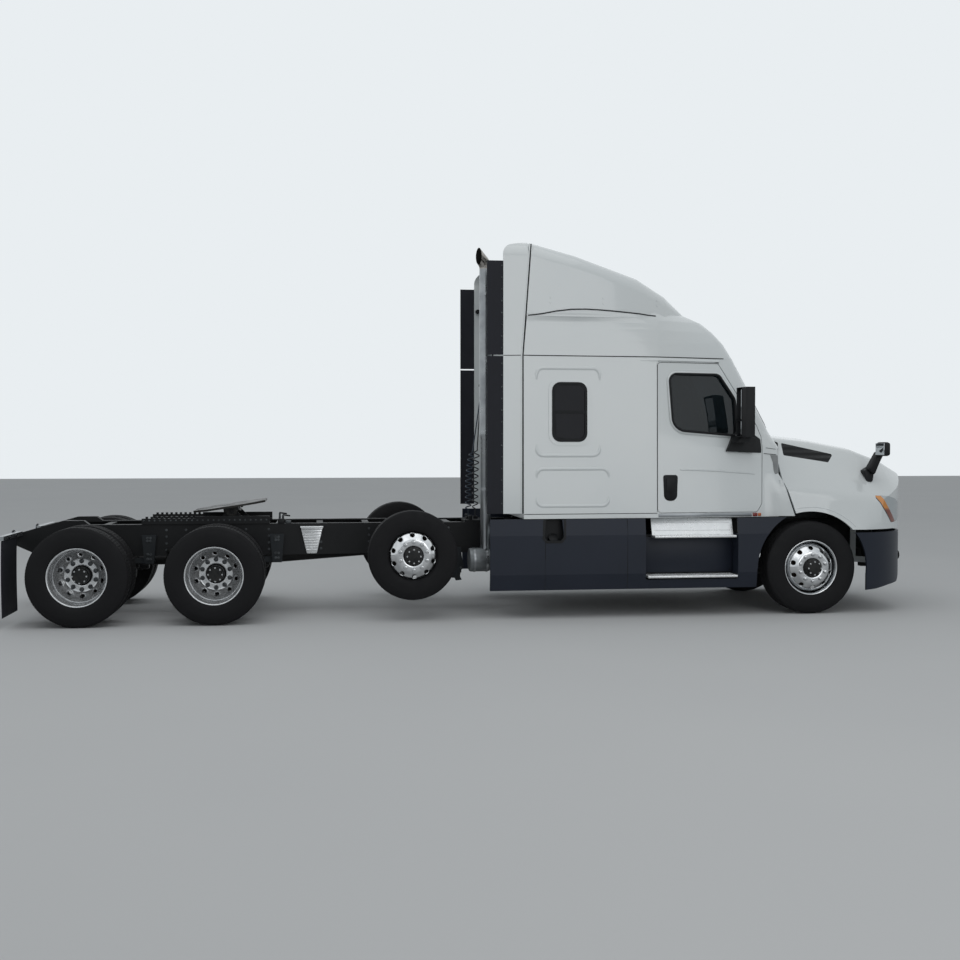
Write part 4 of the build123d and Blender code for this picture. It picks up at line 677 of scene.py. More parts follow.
# The roof fairing's foot: a closing strip over the joint, the curved black joint line that shows in
# its place, and pairs of screws on the fairing's side.
crown = skin_of("roof_fairing", "cab_roof", "cab_shell")
foot = bmesh.new()
columns = [0.452 + 0.05 * step for step in range(29)]
rows = [[foot.verts.new((x, 0.0022, z)) for x in columns] for z in (3.06, 3.10, 3.155, 3.195)]
for vertex in rows[0] + rows[3]:
    vertex.co.y = -0.0015
weave(foot, rows)
line = [Vector((x, 0.002, z)) for x, z in (
    (0.462, 3.135), (0.60, 3.152), (0.76, 3.184), (0.92, 3.204), (1.08, 3.209), (1.24, 3.204), (1.40, 3.194),
    (1.56, 3.182), (1.70, 3.170), (1.84, 3.158))]
fine = [start.lerp(end, share) for start, end in zip(line, line[1:]) for share in (0, 0.33, 0.67)]
joint = bmesh.new()
strand(joint, fine + line[-1:], 0.0065, 8)
for x in (0.700, 1.262, 1.866):
    for z in (3.27, 3.325):
        rod(joint, (x, 0.0, z), (x, 0.005, z), 0.009, 10, 1)
for form, name, finishes in ((foot, "fairing_foot_strips", (body_enamel,)),
                             (joint, "fairing_joints", (gap_and_painted_shadow, body_enamel))):
    settle(form, crown)
    piece(name, form, *finishes, angle=60)

# Doors: the handle's black pocket and paddle, the pressed swage line, and the mirror with its flat
# glass over a wide-angle one. The pocket is moulded plastic clipped into the door's skin.
# Moulded plastic: soft black with a fine grain and a dull sheen.
moulded_black = surface("moulded_black_plastic", "#131416", "#1A1C1E", (0.42, 0.55), 150, 2.5, 0.3, **dusty)
# Anodised aluminium: a satin grey strip that catches a broad light.
satin_sill = surface("satin_anodised_sill", "#8E9295", "#7F8386", (0.3, 0.42), 200, 2, 0.1, Metallic=0.9)
# Amber lens: saturated orange with a sharp glint.
amber_lens = surface("amber_moulded_lens", "#C4621B", "#A94B14", (0.12, 0.2), 40, 4, 0.3)
# Red lens: deep red with a sharp glint.
red_lens = surface("red_moulded_lens", "#8E1A14", "#74110E", (0.12, 0.2), 40, 4, 0.3)
# Silvered glass: a clean, bright reflection of what stands around.
mirror_silver = surface("silvered_mirror_glass", "#C9CDD0", "#BFC3C6", (0.02, 0.05), 300, 4, 0.0,
                        Metallic=1.0)


cab_side = skin_of("door_right", "cab_shell")
for side in ("right", "left"):
    handle = bmesh.new()
    bezel = rounded([(1.906, 1.489), (1.918, 1.216), (2.060, 1.216), (2.070, 1.489)],
                    (0.028, 0.062, 0.062, 0.028))
    plate(handle, bezel, -0.004, 0.003, 0, 0.002)
    plate(handle, widened(bezel, -0.016), 0.0, 0.007, 0, 0.004)
    plate(handle, rounded_loop((1.938, 1.300), (2.038, 1.455), 0.022)[:-1], 0.0, 0.017, 0, 0.005)
    settle(handle, cab_side)
    swage = bmesh.new()
    strand(swage, [(2.10, 0.0015, 1.543), (2.25, 0.0015, 1.541), (2.42, 0.0015, 1.534), (2.58, 0.0015, 1.524),
                   (2.76, 0.0015, 1.511), (2.93, 0.0015, 1.499)], 0.0075)
    settle(swage, cab_side)
    mirror_head = eased("door_mirror_right")
    for vertex in mirror_head.verts:
        if vertex.co.y < -1.2 and vertex.co.z > 1.88:
            vertex.co.x = 2.705 if vertex.co.x < 2.73 else 2.803
    mirror_glass = bmesh.new()
    inward = Matrix.Rotation(-0.3, 3, "Z").to_quaternion()
    for low, high in ((2.068, 2.378), (1.912, 2.048)):
        bar(mirror_glass, (2.678, -1.400, low), (2.684, -1.270, high), 0.002, 0, inward)
    shroud = bmesh.new()
    for low_y, high_y, low_z, high_z in ((-1.4195, -1.411, 1.890, 2.401), (-1.2595, -1.251, 1.890, 2.401),
                                         (-1.4195, -1.251, 2.393, 2.4015), (-1.4195, -1.251, 1.8895, 1.898),
                                         (-1.41, -1.26, 2.052, 2.064)):
        bar(shroud, (2.661, low_y, low_z), (2.765, high_y, high_z), 0.003)
    base = rounded([(2.735, 1.727), (3.006, 1.720), (3.006, 1.868), (2.935, 1.922), (2.78, 1.898)],
                   (0.012, 0.012, 0.02, 0.02, 0.02), 3)
    plate(shroud, base, 0.0, 0.006)
    lying = [face for face in shroud.faces if face.calc_center_median().y > -0.5]
    cut = bmesh.ops.triangulate(shroud, faces=lying)["faces"]
    bmesh.ops.subdivide_edges(shroud, edges=list({edge for face in cut for edge in face.edges}), cuts=3,
                              use_grid_fill=True)
    for vertex in shroud.verts:
        if vertex.co.y > -0.5:
            x, stand, z = vertex.co
            vertex.co.y = side_of(cab_side, x, z, -1.2) - stand
    for form, name, angle in ((handle, "handle", 40), (swage, "swage", 60), (mirror_head, "mirror", 35),
                              (mirror_glass, "mirror_glass", 30), (shroud, "mirror_shroud", 35)):
        if side == "left":
            flip(form)
        smooth(form, angle)
        finish = {"swage": body_enamel, "mirror_glass": mirror_silver}.get(name, moulded_black)
        made = show(f"door_{name}_{side}", as_mesh(form, f"door_{name}_{side}", True), f"door_{side}", finish,
                    stands_for=(f"door_mirror_{side}",) if name == "mirror" else ())
        if name == "mirror":
            round_edges(made, 0.03, 50)

# The sill under each door: an anodised strip with a red reflector and an amber one at its front end,
# screwed to the cab's floor rail. Ahead of the door the cowl's flare, its cap seam and the painted shade of
# its scoop.
trim = bmesh.new()
bar(trim, (1.856, -0.002, 1.047), (2.895, 0.005, 1.084), 0.002, 0)
bar(trim, (2.905, 0.0, 1.047), (2.955, 0.007, 1.084), 0.002, 1)
bar(trim, (2.962, 0.0, 1.049), (2.999, 0.007, 1.080), 0.002, 2)
settle(trim, cab_side)
piece("sill_trim", trim, satin_sill, red_lens, amber_lens)

cowl = bmesh.new()
grid = []
for z, edge_x, share in (
    (1.046, 3.374, 1), (1.12, 3.349, 1), (1.20, 3.320, 1), (1.28, 3.292, 1), (1.34, 3.272, 0.97),
    (1.38, 3.256, 0.86), (1.41, 3.245, 0.68), (1.44, 3.232, 0.46), (1.47, 3.218, 0.22), (1.50, 3.205, 0.0),
):
    row = []
    for step in range(9):
        x = 3.04 + (edge_x - 3.04) * step / 8
        skin = side_of(cab_side, min(x, 3.2), z)
        grow = min(1, step / 5)
        lift = (-1.0985 - skin) * grow * grow * (3 - 2 * grow) * share
        row.append(cowl.verts.new((x, skin + lift - 0.0006, z)))
    grid.append(row)
weave(cowl, grid)
back = bmesh.ops.extrude_face_region(cowl, geom=cowl.faces[:])["geom"]
bmesh.ops.translate(cowl, vec=(0, 0.003, 0),
                    verts=[part for part in back if isinstance(part, bmesh.types.BMVert)])
bmesh.ops.recalc_face_normals(cowl, faces=cowl.faces)
piece("cowl_flares", cowl, body_enamel, angle=50)
# The scoop's hollow is a flat grey plate of painted shade; the two thin dark strips above it are the cap's
# seams.
scoop = bmesh.new()
plate(scoop, [(3.108, 1.700), (3.222, 1.692), (3.222, 1.432), (3.197, 1.440), (3.168, 1.475), (3.148, 1.53),
              (3.138, 1.62)], -0.001, 0.0025, 0, 0.0)
plate(scoop, [(3.036, 1.716), (3.225, 1.700), (3.225, 1.694), (3.036, 1.710)], 0.0, 0.0035, 1)
plate(scoop, [(3.06, 1.776), (3.205, 1.757), (3.205, 1.753), (3.06, 1.772)], 0.0, 0.0025, 1)
bmesh.ops.triangulate(scoop, faces=scoop.faces)
bmesh.ops.subdivide_edges(scoop, edges=scoop.edges, cuts=3, use_grid_fill=True)
settle(scoop, skin_of("cab_shell"), 1.035)
# Painted shade: a flat plate of grey enamel that stands for the shadow in the cowl's scoop.
scoop_painted_shade = surface("painted_shade_grey_enamel", "#8C8F90", "#7D8081", (0.5, 0.6), 90, 3, 0.1)
piece("cowl_scoop_shades", scoop, scoop_painted_shade, gap_and_painted_shadow)

# Hood fittings: slatted air vents, headlamps behind moulded lenses, a finned grille and the two
# convex mirrors on bent arms. All are bolted to the tilting hood and ride with it.
# Slatted plastic: black with level lines of shadow. The slats are drawn 60 mm apart, as coarse as they
# need to be to show from the roadside.
vent_plastic = surface("slatted_vent_plastic", "#151617", "#1D1E20", (0.4, 0.55), 150, 2.5, 0.2, **dusty)
vent_place = add(vent_plastic, "TexCoord").outputs["Object"]
slat_pitch = 60.4
vent_slats = add(vent_plastic, "TexWave", {"Vector": vent_place, "Scale": 100 * math.pi / slat_pitch},
                 bands_direction="Z")
vent_relief = add(vent_plastic, "Bump",
                  {"Strength": 1.0, "Distance": 0.012, "Height": vent_slats.outputs["Fac"]})
vent_shader = vent_plastic.node_tree.nodes["Principled BSDF"]
vent_plastic.node_tree.links.new(vent_relief.outputs["Normal"], vent_shader.inputs["Normal"])
vents = show("vent_slats", as_mesh(eased("hood_vents"), "vent_slats"), "hood", vent_plastic,
             stands_for=("hood_vents",))
round_edges(vents, 0.004, 50)

# Clear lens over its lamp: dark housing, silver bowl and an amber end, all under one gloss.
lamp_lens = surface("clear_polycarbonate_lens", "#A9B1B4", "#9AA2A6", (0.03, 0.08), 60, 6, 0.1,
                    Coat_Weight=1.0, Coat_Roughness=0.02)
lamp_parts = add(lamp_lens, "SeparateXYZ", {0: add(lamp_lens, "TexCoord").outputs["Object"]})
lamp_x, lamp_z = [
    add(lamp_lens, "Math", {0: lamp_parts.outputs[axis], 1: slope, 2: -slope * start},
        operation="MULTIPLY_ADD")
    for axis, slope, start in (("X", 0.7755, 4.2675), ("Z", 0.6315, 1.23))
]
lamp_depth = add(lamp_lens, "Math", {0: lamp_x.outputs[0], 1: lamp_z.outputs[0]}, operation="ADD").outputs[0]
lamp_tone = None
for value, low, high, before, after in (
    (lamp_parts.outputs["Z"], 1.10, 1.13, "#7E3418", "#D98B32"),
    (lamp_depth, 0.066, 0.072, None, "#AEB6B9"),
    (lamp_depth, 0.010, 0.014, "#2A2C2E", None),
    (lamp_parts.outputs["X"], 4.685, 4.70, None, "#2C3033"),
):
    share = add(lamp_lens, "MapRange", {"Value": value, "From Min": low, "From Max": high}).outputs[0]
    first = linear(before) if before else lamp_tone
    lamp_tone = add(lamp_lens, "Mix", {0: share, 6: first, 7: linear(after) if after else lamp_tone},
                    data_type="RGBA").outputs[2]
lamp_lens.node_tree.links.new(lamp_tone, lamp_lens.node_tree.nodes["Principled BSDF"].inputs["Base Color"])
lenses = show("headlamp_lenses", as_mesh(eased("headlamps"), "headlamp_lenses"), "hood", lamp_lens,
              stands_for=("headlamps",))
round_edges(lenses, 0.003, 50)

grille_form = eased("grille")
for index in range(35):
    y = -0.425 + 0.025 * index
    bar(grille_form, (4.736, y - 0.003, 0.985), (4.752, y + 0.003, 1.385), 0, 1)
# Gloss black plastic: dark fins with thin highlights.
grille_black = surface("gloss_black_grille", "#17181A", "#1F2123", (0.2, 0.3), 200, 3, 0.1)
grille_piece = piece("finned_grille", grille_form, satin_sill, grille_black, body="hood", twin=False,
                     outward=False, stands_for=("grille",))
round_edges(grille_piece, 0.003, 60)

hood_glass = bmesh.new()
hood_arms = bmesh.new()
turn = Matrix.Rotation(math.radians(15), 3, "Z")
for form, shift, half, ease in ((hood_arms, 0.0, (0.043, 0.078, 0.0755), 0.028),
                                (hood_glass, -0.0425, (0.004, 0.067, 0.063), 0.003)):
    middle = Vector((4.357, -1.112, 1.760)) + turn @ Vector((shift, 0, 0))
    bar(form, middle - Vector(half), middle + Vector(half), ease, 0, turn.to_quaternion())
mirror_foot = [(4.300, 1.404), (4.325, 1.575), (4.195, 1.524), (4.232, 1.404)]
mirror_arm = [(4.300, 1.475), (4.352, 1.600), (4.405, 1.705), (4.335, 1.735), (4.275, 1.625), (4.225, 1.545)]
plate(hood_arms, rounded(mirror_foot, [0.02] * 4, 3), -0.80, -0.995, 0, 0.008)
plate(hood_arms, rounded(mirror_arm, (0.02, 0.06, 0.02, 0.02, 0.06, 0.02), 3), -0.955, -1.045, 0, 0.016)
piece("hood_mirror_glass", hood_glass, mirror_silver, body="hood", outward=False)
piece("hood_mirror_arms", hood_arms, moulded_black, body="hood", angle=40, stands_for=("hood_mirrors",))

# The fender's lip: the rolled edge of the wheel arch, moulded in one with the hood and enamelled with
# it, so that it ends the panel in a round bead over the tyre.
front_axle_x = 3.5375
arch_radius = 0.642
fender = skin_of("hood_shell")
lip = bmesh.new()
arch_points = []
for step in range(31):
    angle = math.radians(24 + 108 * step / 30)
    x, z = front_axle_x + arch_radius * math.cos(angle), 0.5 + arch_radius * math.sin(angle)
    y = side_of(fender, x, z, missing=0)
    if y < -0.98:
        arch_points.append(Vector((x, y + 0.006, z)))
for start, end in zip(arch_points, arch_points[1:]):
    if (start - end).length < 0.12:
        rod(lip, start, end, 0.009, 10)
piece("fender_lips", lip, body_enamel, body="hood", angle=60, outward=False)

# Bumper and side skirts: moulded composite in dark slate enamel. The bumper carries round fog lamps
# and an intake mesh; the skirts are bolted to the boxes and tank straps and split by the fuel filler.
# Slate enamel: a blue-black that stays darker than the sky it reflects.
slate_enamel = surface("slate_enamel", "#20252F", "#242934", (0.34, 0.44), 900, 2, 0.04, **dusty)
for node, crease in (("bumper", 30), ("side_skirts", 4)):
    painted = show(f"{node}_panels", as_mesh(eased(node, crease), node), "chassis_and_cab", slate_enamel,
                   stands_for=(node,))
    round_edges(painted, 0.004, 25)
skirt_lines = bmesh.new()
for x, low, high in ((1.511, 0.302, 1.034), (0.640, 0.302, 0.815)):
    knee = 0.867 if high > 1 else 0.64
    levels = (low, 0.463, knee, high)
    plate(skirt_lines, [(x - 0.003, low), *[(x + 0.003, z) for z in levels],
                        *[(x - 0.003, z) for z in levels[:0:-1]]], -0.001, 0.0012)
settle(skirt_lines, skin_of("side_skirts"))
plate(skirt_lines, [(0.60, 0.79), (0.88, 0.79), (0.88, 1.034), (0.60, 1.034)], -1.090, -1.096, 1)
skirt_top = 1.036
pocket = [(0.8375, skirt_top), (0.8325, 0.850), (0.805, 0.815), (0.660, 0.815), (0.6325, 0.845),
          (0.6475, skirt_top)]
wider = [(0.862, skirt_top), (0.857, 0.838), (0.815, 0.789), (0.650, 0.789), (0.608, 0.833),
         (0.623, skirt_top)]
collar = bmesh.new()
ring_plate(collar, wider, pocket, -0.03, 0.004)
piece("skirt_gaps", skirt_lines, gap_and_painted_shadow, moulded_black, angle=None)
for vertex in collar.verts:
    slant = min(1, (skirt_top - vertex.co.z) / 0.169)
    vertex.co.y = -1.180 - 0.025 * slant - vertex.co.y
piece("filler_collars", collar, moulded_black)
recess = bmesh.new()
bar(recess, (1.712, -1.012, 0.452), (2.704, -1.002, 0.828), 0.003, 0)
for x in (1.735, 2.681):
    for z in (0.475, 0.805):
        bolt(recess, (x, -1.012, z), (0, -1, 0), 0.007, 1)
piece("step_recess_panels", recess, slate_enamel, moulded_black)

lamps = bmesh.new()
fog_height = 0.585
for y, nose in ((-0.60, 4.7662), (-0.72, 4.7285)):
    turned(lamps, [(-0.012, 0.0), (-0.012, 0.048), (0.0, 0.050), (-0.003, 0.042), (-0.008, 0.038),
                   (-0.005, 0.0)], (nose - 0.001, y, fog_height), (1, 0, 0), 32, 0)
    rod(lamps, (nose - 0.02, y, fog_height), (nose - 0.007, y, fog_height), 0.034, 32, 1)
both_sides(lamps)
for index in range(28):
    y = -0.351 + 0.026 * index
    bar(lamps, (4.790, y - 0.002, 0.471), (4.796, y + 0.002, 0.639), 0, 2)
for index in range(6):
    z = 0.485 + 0.028 * index
    bar(lamps, (4.788, -0.359, z - 0.002), (4.794, 0.359, z + 0.002), 0, 2)
# Metallised bowl: a bright silver spot in each fog lamp.
lamp_reflector = surface("vacuum_metallised_reflector", "#B9BDC0", "#A9ADB0", (0.05, 0.1), 60, 6, 0.1,
                         Metallic=1.0)
piece("bumper_fittings", lamps, moulded_black, lamp_reflector, grille_black, twin=False)

# Steps: bright aluminium treads with raised grip buttons and a serrated edge, and an embossed
# kick plate behind the upper one. They bolt to the battery boxes.
# Stamped aluminium: bright and pale, with a soft sparkle on its buttons.
tread_aluminium = surface("stamped_bright_aluminium", "#E6E7E8", "#DADCDD", (0.24, 0.34), 90, 2, 0.08,
                          Metallic=0.6)
steps = bmesh.new()
for x_low, x_high, top in ((1.7995, 2.6845, 0.856), (1.7295, 2.6995, 0.436)):
    bar(steps, (x_low, -1.219, top - 0.024), (x_high, -1.0, top), 0.004)
    teeth = int((x_high - x_low) / 0.03)
    for index in range(teeth):
        x = x_low + 0.015 + 0.03 * index
        bar(steps, (x - 0.008, -1.2245, top - 0.018), (x + 0.008, -1.216, top - 0.004), 0.001)
        for y in (-1.185, -1.145, -1.105, -1.065, -1.025):
            rod(steps, (x, y, top - 0.001), (x, y, top + 0.0035), 0.010, 8, 0, 0.006)
plate(steps, [(-1.112, 0.852), (-1.0445, 1.029), (-1.0385, 1.0275), (-1.106, 0.850)], 1.7995, 2.6845, 0, 0,
      (1, 0, 0))
for share in (0.28, 0.72):
    y, z = -1.1135 + 0.0675 * share, 0.853 + 0.177 * share
    rod(steps, (1.83, y, z), (2.654, y, z), 0.003, 8)
piece("bright_steps", steps, tread_aluminium, stands_for=("cab_steps",))

# Fuel tanks of brushed aluminium with steel straps and a filler neck each, and black moulded battery
# and tool boxes ahead of them. They hang on the rails and carry the skirts.
# Brushed aluminium: a pale metal with broad, soft reflections.
brushed_tank = surface("brushed_aluminium_tank", "#B9BCBE", "#A8ABAD", (0.28, 0.4), 120, 2, 0.2, Metallic=1.0)
# Stainless straps: a shade darker than the tank that they hold.
strap_steel = surface("stainless_strap", "#8F9294", "#7E8183", (0.3, 0.4), 80, 2, 0.1, Metallic=1.0)
tank_form = bmesh.new()
tank_middle = Vector((0, -0.805, 0.62))
turned(tank_form, [(0.1975, 0.0), (0.1985, 0.20), (0.206, 0.275), (0.222, 0.302), (0.245, 0.309),
                   (1.540, 0.309), (1.563, 0.302), (1.579, 0.275), (1.5865, 0.20),
                   (1.5875, 0.0)], tank_middle, (1, 0, 0), 64)
for x in (0.4875, 1.2875):
    turned(tank_form, [(x - 0.03, 0.3095), (x - 0.03, 0.3135), (x + 0.03, 0.3135), (x + 0.03, 0.3095)],
           tank_middle, (1, 0, 0), 64, 1)
    bar(tank_form, (x - 0.03, -1.183, 0.57), (x + 0.03, -1.11, 0.67), 0.003, 1)
    bar(tank_form, (x - 0.03, -0.805, 0.66), (x + 0.03, -0.432, 0.82), 0.003, 1)
neck = tank_middle + Vector((0.739, 0, 0))
way = Vector((0, -0.815, 0.58)).normalized()
rod(tank_form, neck + way * 0.29, neck + way * 0.355, 0.043, 32, 0)
rod(tank_form, neck + way * 0.35, neck + way * 0.39, 0.052, 32, 2, ease=0.004)
for x_low, x_high in ((1.6775, 2.205), (2.213, 2.7575)):
    bar(tank_form, (x_low, -1.0, 0.33), (x_high, -0.48, 0.86), 0.012, 2)
for x in (1.8375, 2.6375):
    bar(tank_form, (x - 0.03, -0.48, 0.65), (x + 0.03, -0.432, 0.80), 0.003, 1)
    bar(tank_form, (x - 0.03, -1.178, 0.33), (x + 0.03, -1.0, 0.39), 0.003, 2)
piece("tanks_with_straps", tank_form, brushed_tank, strap_steel, moulded_black,
      stands_for=("tanks_and_boxes",))

# Tyres: radial truck tyres of black rubber. The steered and lift ones are ribbed, the driven ones
# have blocks. Each is turned from its section; the sidewalls are bare, with moulded rings.
# Sidewall rubber: deep matt black, a little dusty.
tyre_rubber = surface("vulcanised_rubber", "#0E0E10", "#161618", (0.62, 0.8), 90, 2, 0.35, **dusty)
# Worn tread: a rougher, greyer black than the sidewall.
tread_rubber = surface("worn_tread_rubber", "#131315", "#1C1C1D", (0.7, 0.85), 60, 3, 0.4, **dusty)
axle_height = 0.4957
single_wheel_y = 1.028
dual_outer_y = 1.075
dual_inner_y = 0.739
tyre_steps = 96
groove_depth = 0.012


def lathe(profile, steps, angle=30):
    """A closed shape turned round the axis Y at the origin, its normals outward."""
    form = bmesh.new()
    turned(form, profile, steps=steps)
    bmesh.ops.remove_doubles(form, verts=form.verts, dist=1e-5)
    bmesh.ops.recalc_face_normals(form, faces=form.faces)
    smooth(form, angle)
    return form


def tyre_form(radius, width, blocks):
    """A tyre round the axis Y at the origin, with ribs or blocks in its tread."""
    section = [
        (0.400, -0.202), (0.425, -0.200), (0.445, -0.192), (0.452, -0.190), (0.458, -0.196), (0.475, -0.183),
        (0.490, -0.165), (0.500, -0.140), (0.4985, -0.118), (0.500, -0.100), (0.492, -0.075), (0.474, -0.048),
        (0.468, -0.044), (0.466, -0.038), (0.448, -0.022), (0.428, -0.012), (0.410, -0.007),
    ]
    wall = [(share * width, radius + drop) for share, drop in section]
    tread_half = width * 0.395
    crown = radius - (groove_depth if blocks else 0)
    tread = [(tread_half, crown - 0.004)]
    for middle in () if blocks else (0.6, 0.2, -0.2, -0.6):
        for offset, drop in ((0.0055, 0), (0.0035, groove_depth), (-0.0035, groove_depth), (-0.0055, 0)):
            tread.append((middle * tread_half + offset, crown - drop - 0.004 * middle ** 2))
    if blocks:
        tread += [(share * tread_half, crown - 0.004 * share * share) for share in (0.52, 0.03, -0.03, -0.52)]
    tread.append((-tread_half, crown - 0.004))
    outer = wall + tread + [(-along, reach) for along, reach in reversed(wall)]
    bead = [(-0.39 * width, radius - 0.209), (0.39 * width, radius - 0.209)]
    form = lathe([*outer, *bead, outer[0]], tyre_steps)
    low = crown - groove_depth * 1.4
    for face in form.faces:
        middle = face.calc_center_median()
        face.material_index = int(abs(middle.y) < tread_half + 0.001 and math.hypot(middle.x, middle.z) > low)
    if blocks:
        band = [face for face in form.faces if face.material_index and face.calc_area() > 3e-4]
        bmesh.ops.inset_individual(form, faces=band, thickness=0.0035, depth=groove_depth)
    smooth(form, 28)
    return form


def wheel_piece(name, forms, finishes, stands_for, body):
    """Forms round Y, each with its middle, side and facing, set in place as one piece."""
    whole = bmesh.new()
    for form, x, y, z, facing in forms:
        copy = form.copy()
        bmesh.ops.scale(copy, vec=(1, facing, 1), verts=copy.verts)
        bmesh.ops.translate(copy, vec=(x, y, z), verts=copy.verts)
        if facing < 0:
            bmesh.ops.reverse_faces(copy, faces=copy.faces)
        holder = bpy.data.meshes.new("holder")
        copy.to_mesh(holder)
        copy.free()
        whole.from_mesh(holder)
    return show(name, as_mesh(whole, name), body, *finishes, stands_for=stands_for)


ribbed_tyre = tyre_form(axle_height, 0.280, False)
lift_tyre = tyre_form(0.460, 0.255, False)
block_tyre = tyre_form(axle_height, 0.280, True)
drive_x = {"front": -2.713, "rear": -4.034}
sides = {"right": -1, "left": 1}
single_wheels = {"front": (front_axle_x, axle_height, ribbed_tyre), "lift": (-0.7205, 0.672, lift_tyre)}
for side, sign in sides.items():
    for axle, (x, z, form) in single_wheels.items():
        wheel_piece(f"{axle}_tyre_{side}", [(form, x, sign * single_wheel_y, z, 1)],
                    (tyre_rubber, tread_rubber),
                    (f"tyre_{axle}_{side}",), f"wheel_{axle}_{side}")
    for axle, x in drive_x.items():
        twin = [(block_tyre, x, sign * y, axle_height, 1) for y in (dual_inner_y, dual_outer_y)]
        wheel_piece(f"drive_{axle}_tyres_{side}", twin, (tyre_rubber, tread_rubber),
                    (f"tyres_drive_{axle}_{side}",), f"wheels_drive_{axle}_{side}")

# Rims: forged aluminium, ten hand holes round a dished disc, polished on the outside. The disc is
# bolted to the hub by ten nuts; steered and lift wheels show its convex side, driven ones the dish.
# Polished forging: bright metal that mirrors ground and sky in bands.
polished_rim = surface("polished_forged_aluminium", "#D6D7D8", "#C2C4C6", (0.10, 0.24), 70, 1.5, 0.05,
                       Metallic=1.0)
# Satin disc: the same metal, duller, and made paler and partly diffuse inside the dish as painted light, so
# that the dish does not go dark.
dished_rim_painted_light = surface("satin_dished_aluminium_painted_light", "#D9DADB", "#C6C8CA", (0.20, 0.32), 70, 1.5, 0.05,
                     Metallic=0.72)
# Dull caps: dark grey nuts that stand out from the bright disc.
capped_nut = surface("dull_capped_nut", "#4C4E50", "#3A3C3E", (0.3, 0.45), 30, 1, 0.1, Metallic=0.8)
# Chromed nuts: small bright points round the hub.
nut_steel = surface("chromed_nut_steel", "#C9CACB", "#AEB0B2", (0.12, 0.25), 30, 1, 0.05, Metallic=1.0)
# Black hub enamel: dark and half dull, with a trace of dirt.
hub_enamel = surface("black_hub_enamel", "#1B1C1D", "#2B2B2A", (0.35, 0.6), 60, 3, 0.2, **dusty)
# Oil window: a small murky yellow disc in the hub's cap.
hub_window = surface("oil_window_plastic", "#6E6A52", "#5F5B47", (0.1, 0.2), 40, 2, 0.0)
hand_holes = 10
hole_circle = 0.214
hole_radius = 0.027
disc_face = 0.168
disc_thick = 0.014
stud_circle = 0.1429
cap_circle = 0.0675


def disc_form():
    """The dished disc round Y, its hand holes opened in it, before it is smoothed."""
    form = lathe([(0.040, 0.268), (0.062, 0.262), (0.086, 0.254), (0.112, 0.240), (0.134, 0.2145),
                  (0.152, 0.190), (0.163, 0.178), (0.168, 0.168), (0.168, 0.140), (0.168, 0.112),
                  (0.166, 0.098)], hand_holes * 6)
    if sum(face.normal.y for face in form.faces) < 0:
        bmesh.ops.reverse_faces(form, faces=form.faces)
    for hole in range(hand_holes):
        angle = 2 * math.pi * hole / hand_holes
        centre = Vector((hole_circle * math.sin(angle), 0.134, hole_circle * math.cos(angle)))
        nearest = min(form.verts, key=lambda vertex: (vertex.co - centre).length)
        centre = nearest.co.copy()
        across = Vector((centre.z, 0, -centre.x)).normalized()
        along = nearest.normal.cross(across).normalized()
        corners = {vertex for face in nearest.link_faces for vertex in face.verts} - {nearest}
        bmesh.ops.delete(form, geom=[nearest], context="VERTS")
        for vertex in corners:
            offset = vertex.co - centre
            flat = Vector((offset.dot(across), offset.dot(along)))
            flat = flat.normalized() * hole_radius
            vertex.co = centre + across * flat.x + along * flat.y
    bmesh.ops.solidify(form, geom=form.faces[:], thickness=disc_thick)
    bmesh.ops.recalc_face_normals(form, faces=form.faces)
    smooth(form, 50)
    return form


def barrel_form():
    """The rim's barrel round Y: flanges, drop centre and the ledge that the disc joins."""
    return lathe([
        (0.117, 0.2955), (0.121, 0.2925), (0.1215, 0.287), (0.1185, 0.2815), (0.111, 0.2775),
        (0.090, 0.2735), (0.060, 0.2695), (0.045, 0.2665), (0.020, 0.2600), (-0.030, 0.2585),
        (-0.080, 0.2660), (-0.108, 0.2760), (-0.1185, 0.2815), (-0.1215, 0.287), (-0.121, 0.2925),
        (-0.117, 0.2955), (-0.108, 0.2870), (-0.060, 0.2800), (0.000, 0.2720), (0.060, 0.2800),
        (0.108, 0.2870), (0.117, 0.2955),
    ], 72, 40)


def hub_form(face, cap, dome):
    """A hub's visible end round Y from the mounting face: flange, barrel, cap, bolts and window."""
    form = bmesh.new()
    profile = [(face - 0.02, 0.097), (face + 0.006, 0.097), (face + 0.012, 0.090), (face + cap * 0.55, 0.084),
               (face + cap * 0.6, 0.076), (face + cap - 0.012, 0.074), (face + cap - 0.003, 0.066)]
    profile += [(face + cap, 0.040), (face + cap, 0.0)] if dome else [(face + cap - 0.003, 0.0)]
    turned(form, [(face - 0.02, 0.0), *profile], steps=48)
    for x, z in circle(8, cap_circle):
        bolt(form, (x, face + cap - 0.006, z), (0, 1, 0), 0.0075, 1)
    if dome:
        rod(form, (0, face + cap - 0.002, 0), (0, face + cap - 0.0005, 0), 0.026, 24, 2)
    bmesh.ops.recalc_face_normals(form, faces=form.faces)
    smooth(form, 30)
    return form


def nut_ring(face):
    """Ten flanged nuts with their stud ends round Y."""
    form = bmesh.new()
    for x, z in circle(10, stud_circle, 0.5):
        rod(form, (x, face, z), (x, face + 0.004, z), 0.0235, 20)
        rod(form, (x, face, z), (x, face + 0.024, z), 0.0195, 6, ease=0.002)
        rod(form, (x, face, z), (x, face + 0.034, z), 0.010, 12)
    smooth(form, 30)
    return form


def drum_form(start):
    """The brake drum behind a rim, round Y."""
    section = ((0, 0.193), (0, 0.215), (0.02, 0.215), (0.024, 0.208), (0.085, 0.205), (0.10, 0.19),
               (0.115, 0.13), (0.115, 0.06), (0.10, 0.06), (0.10, 0.193), (0, 0.193))
    return lathe([(start + along, radius) for along, radius in section], 48)


def forged(made):
    """Rounds off the steps of a rim's mesh."""
    rounding = made.modifiers.new("smooth_forging", "SUBSURF")
    rounding.levels = rounding.render_levels = 1


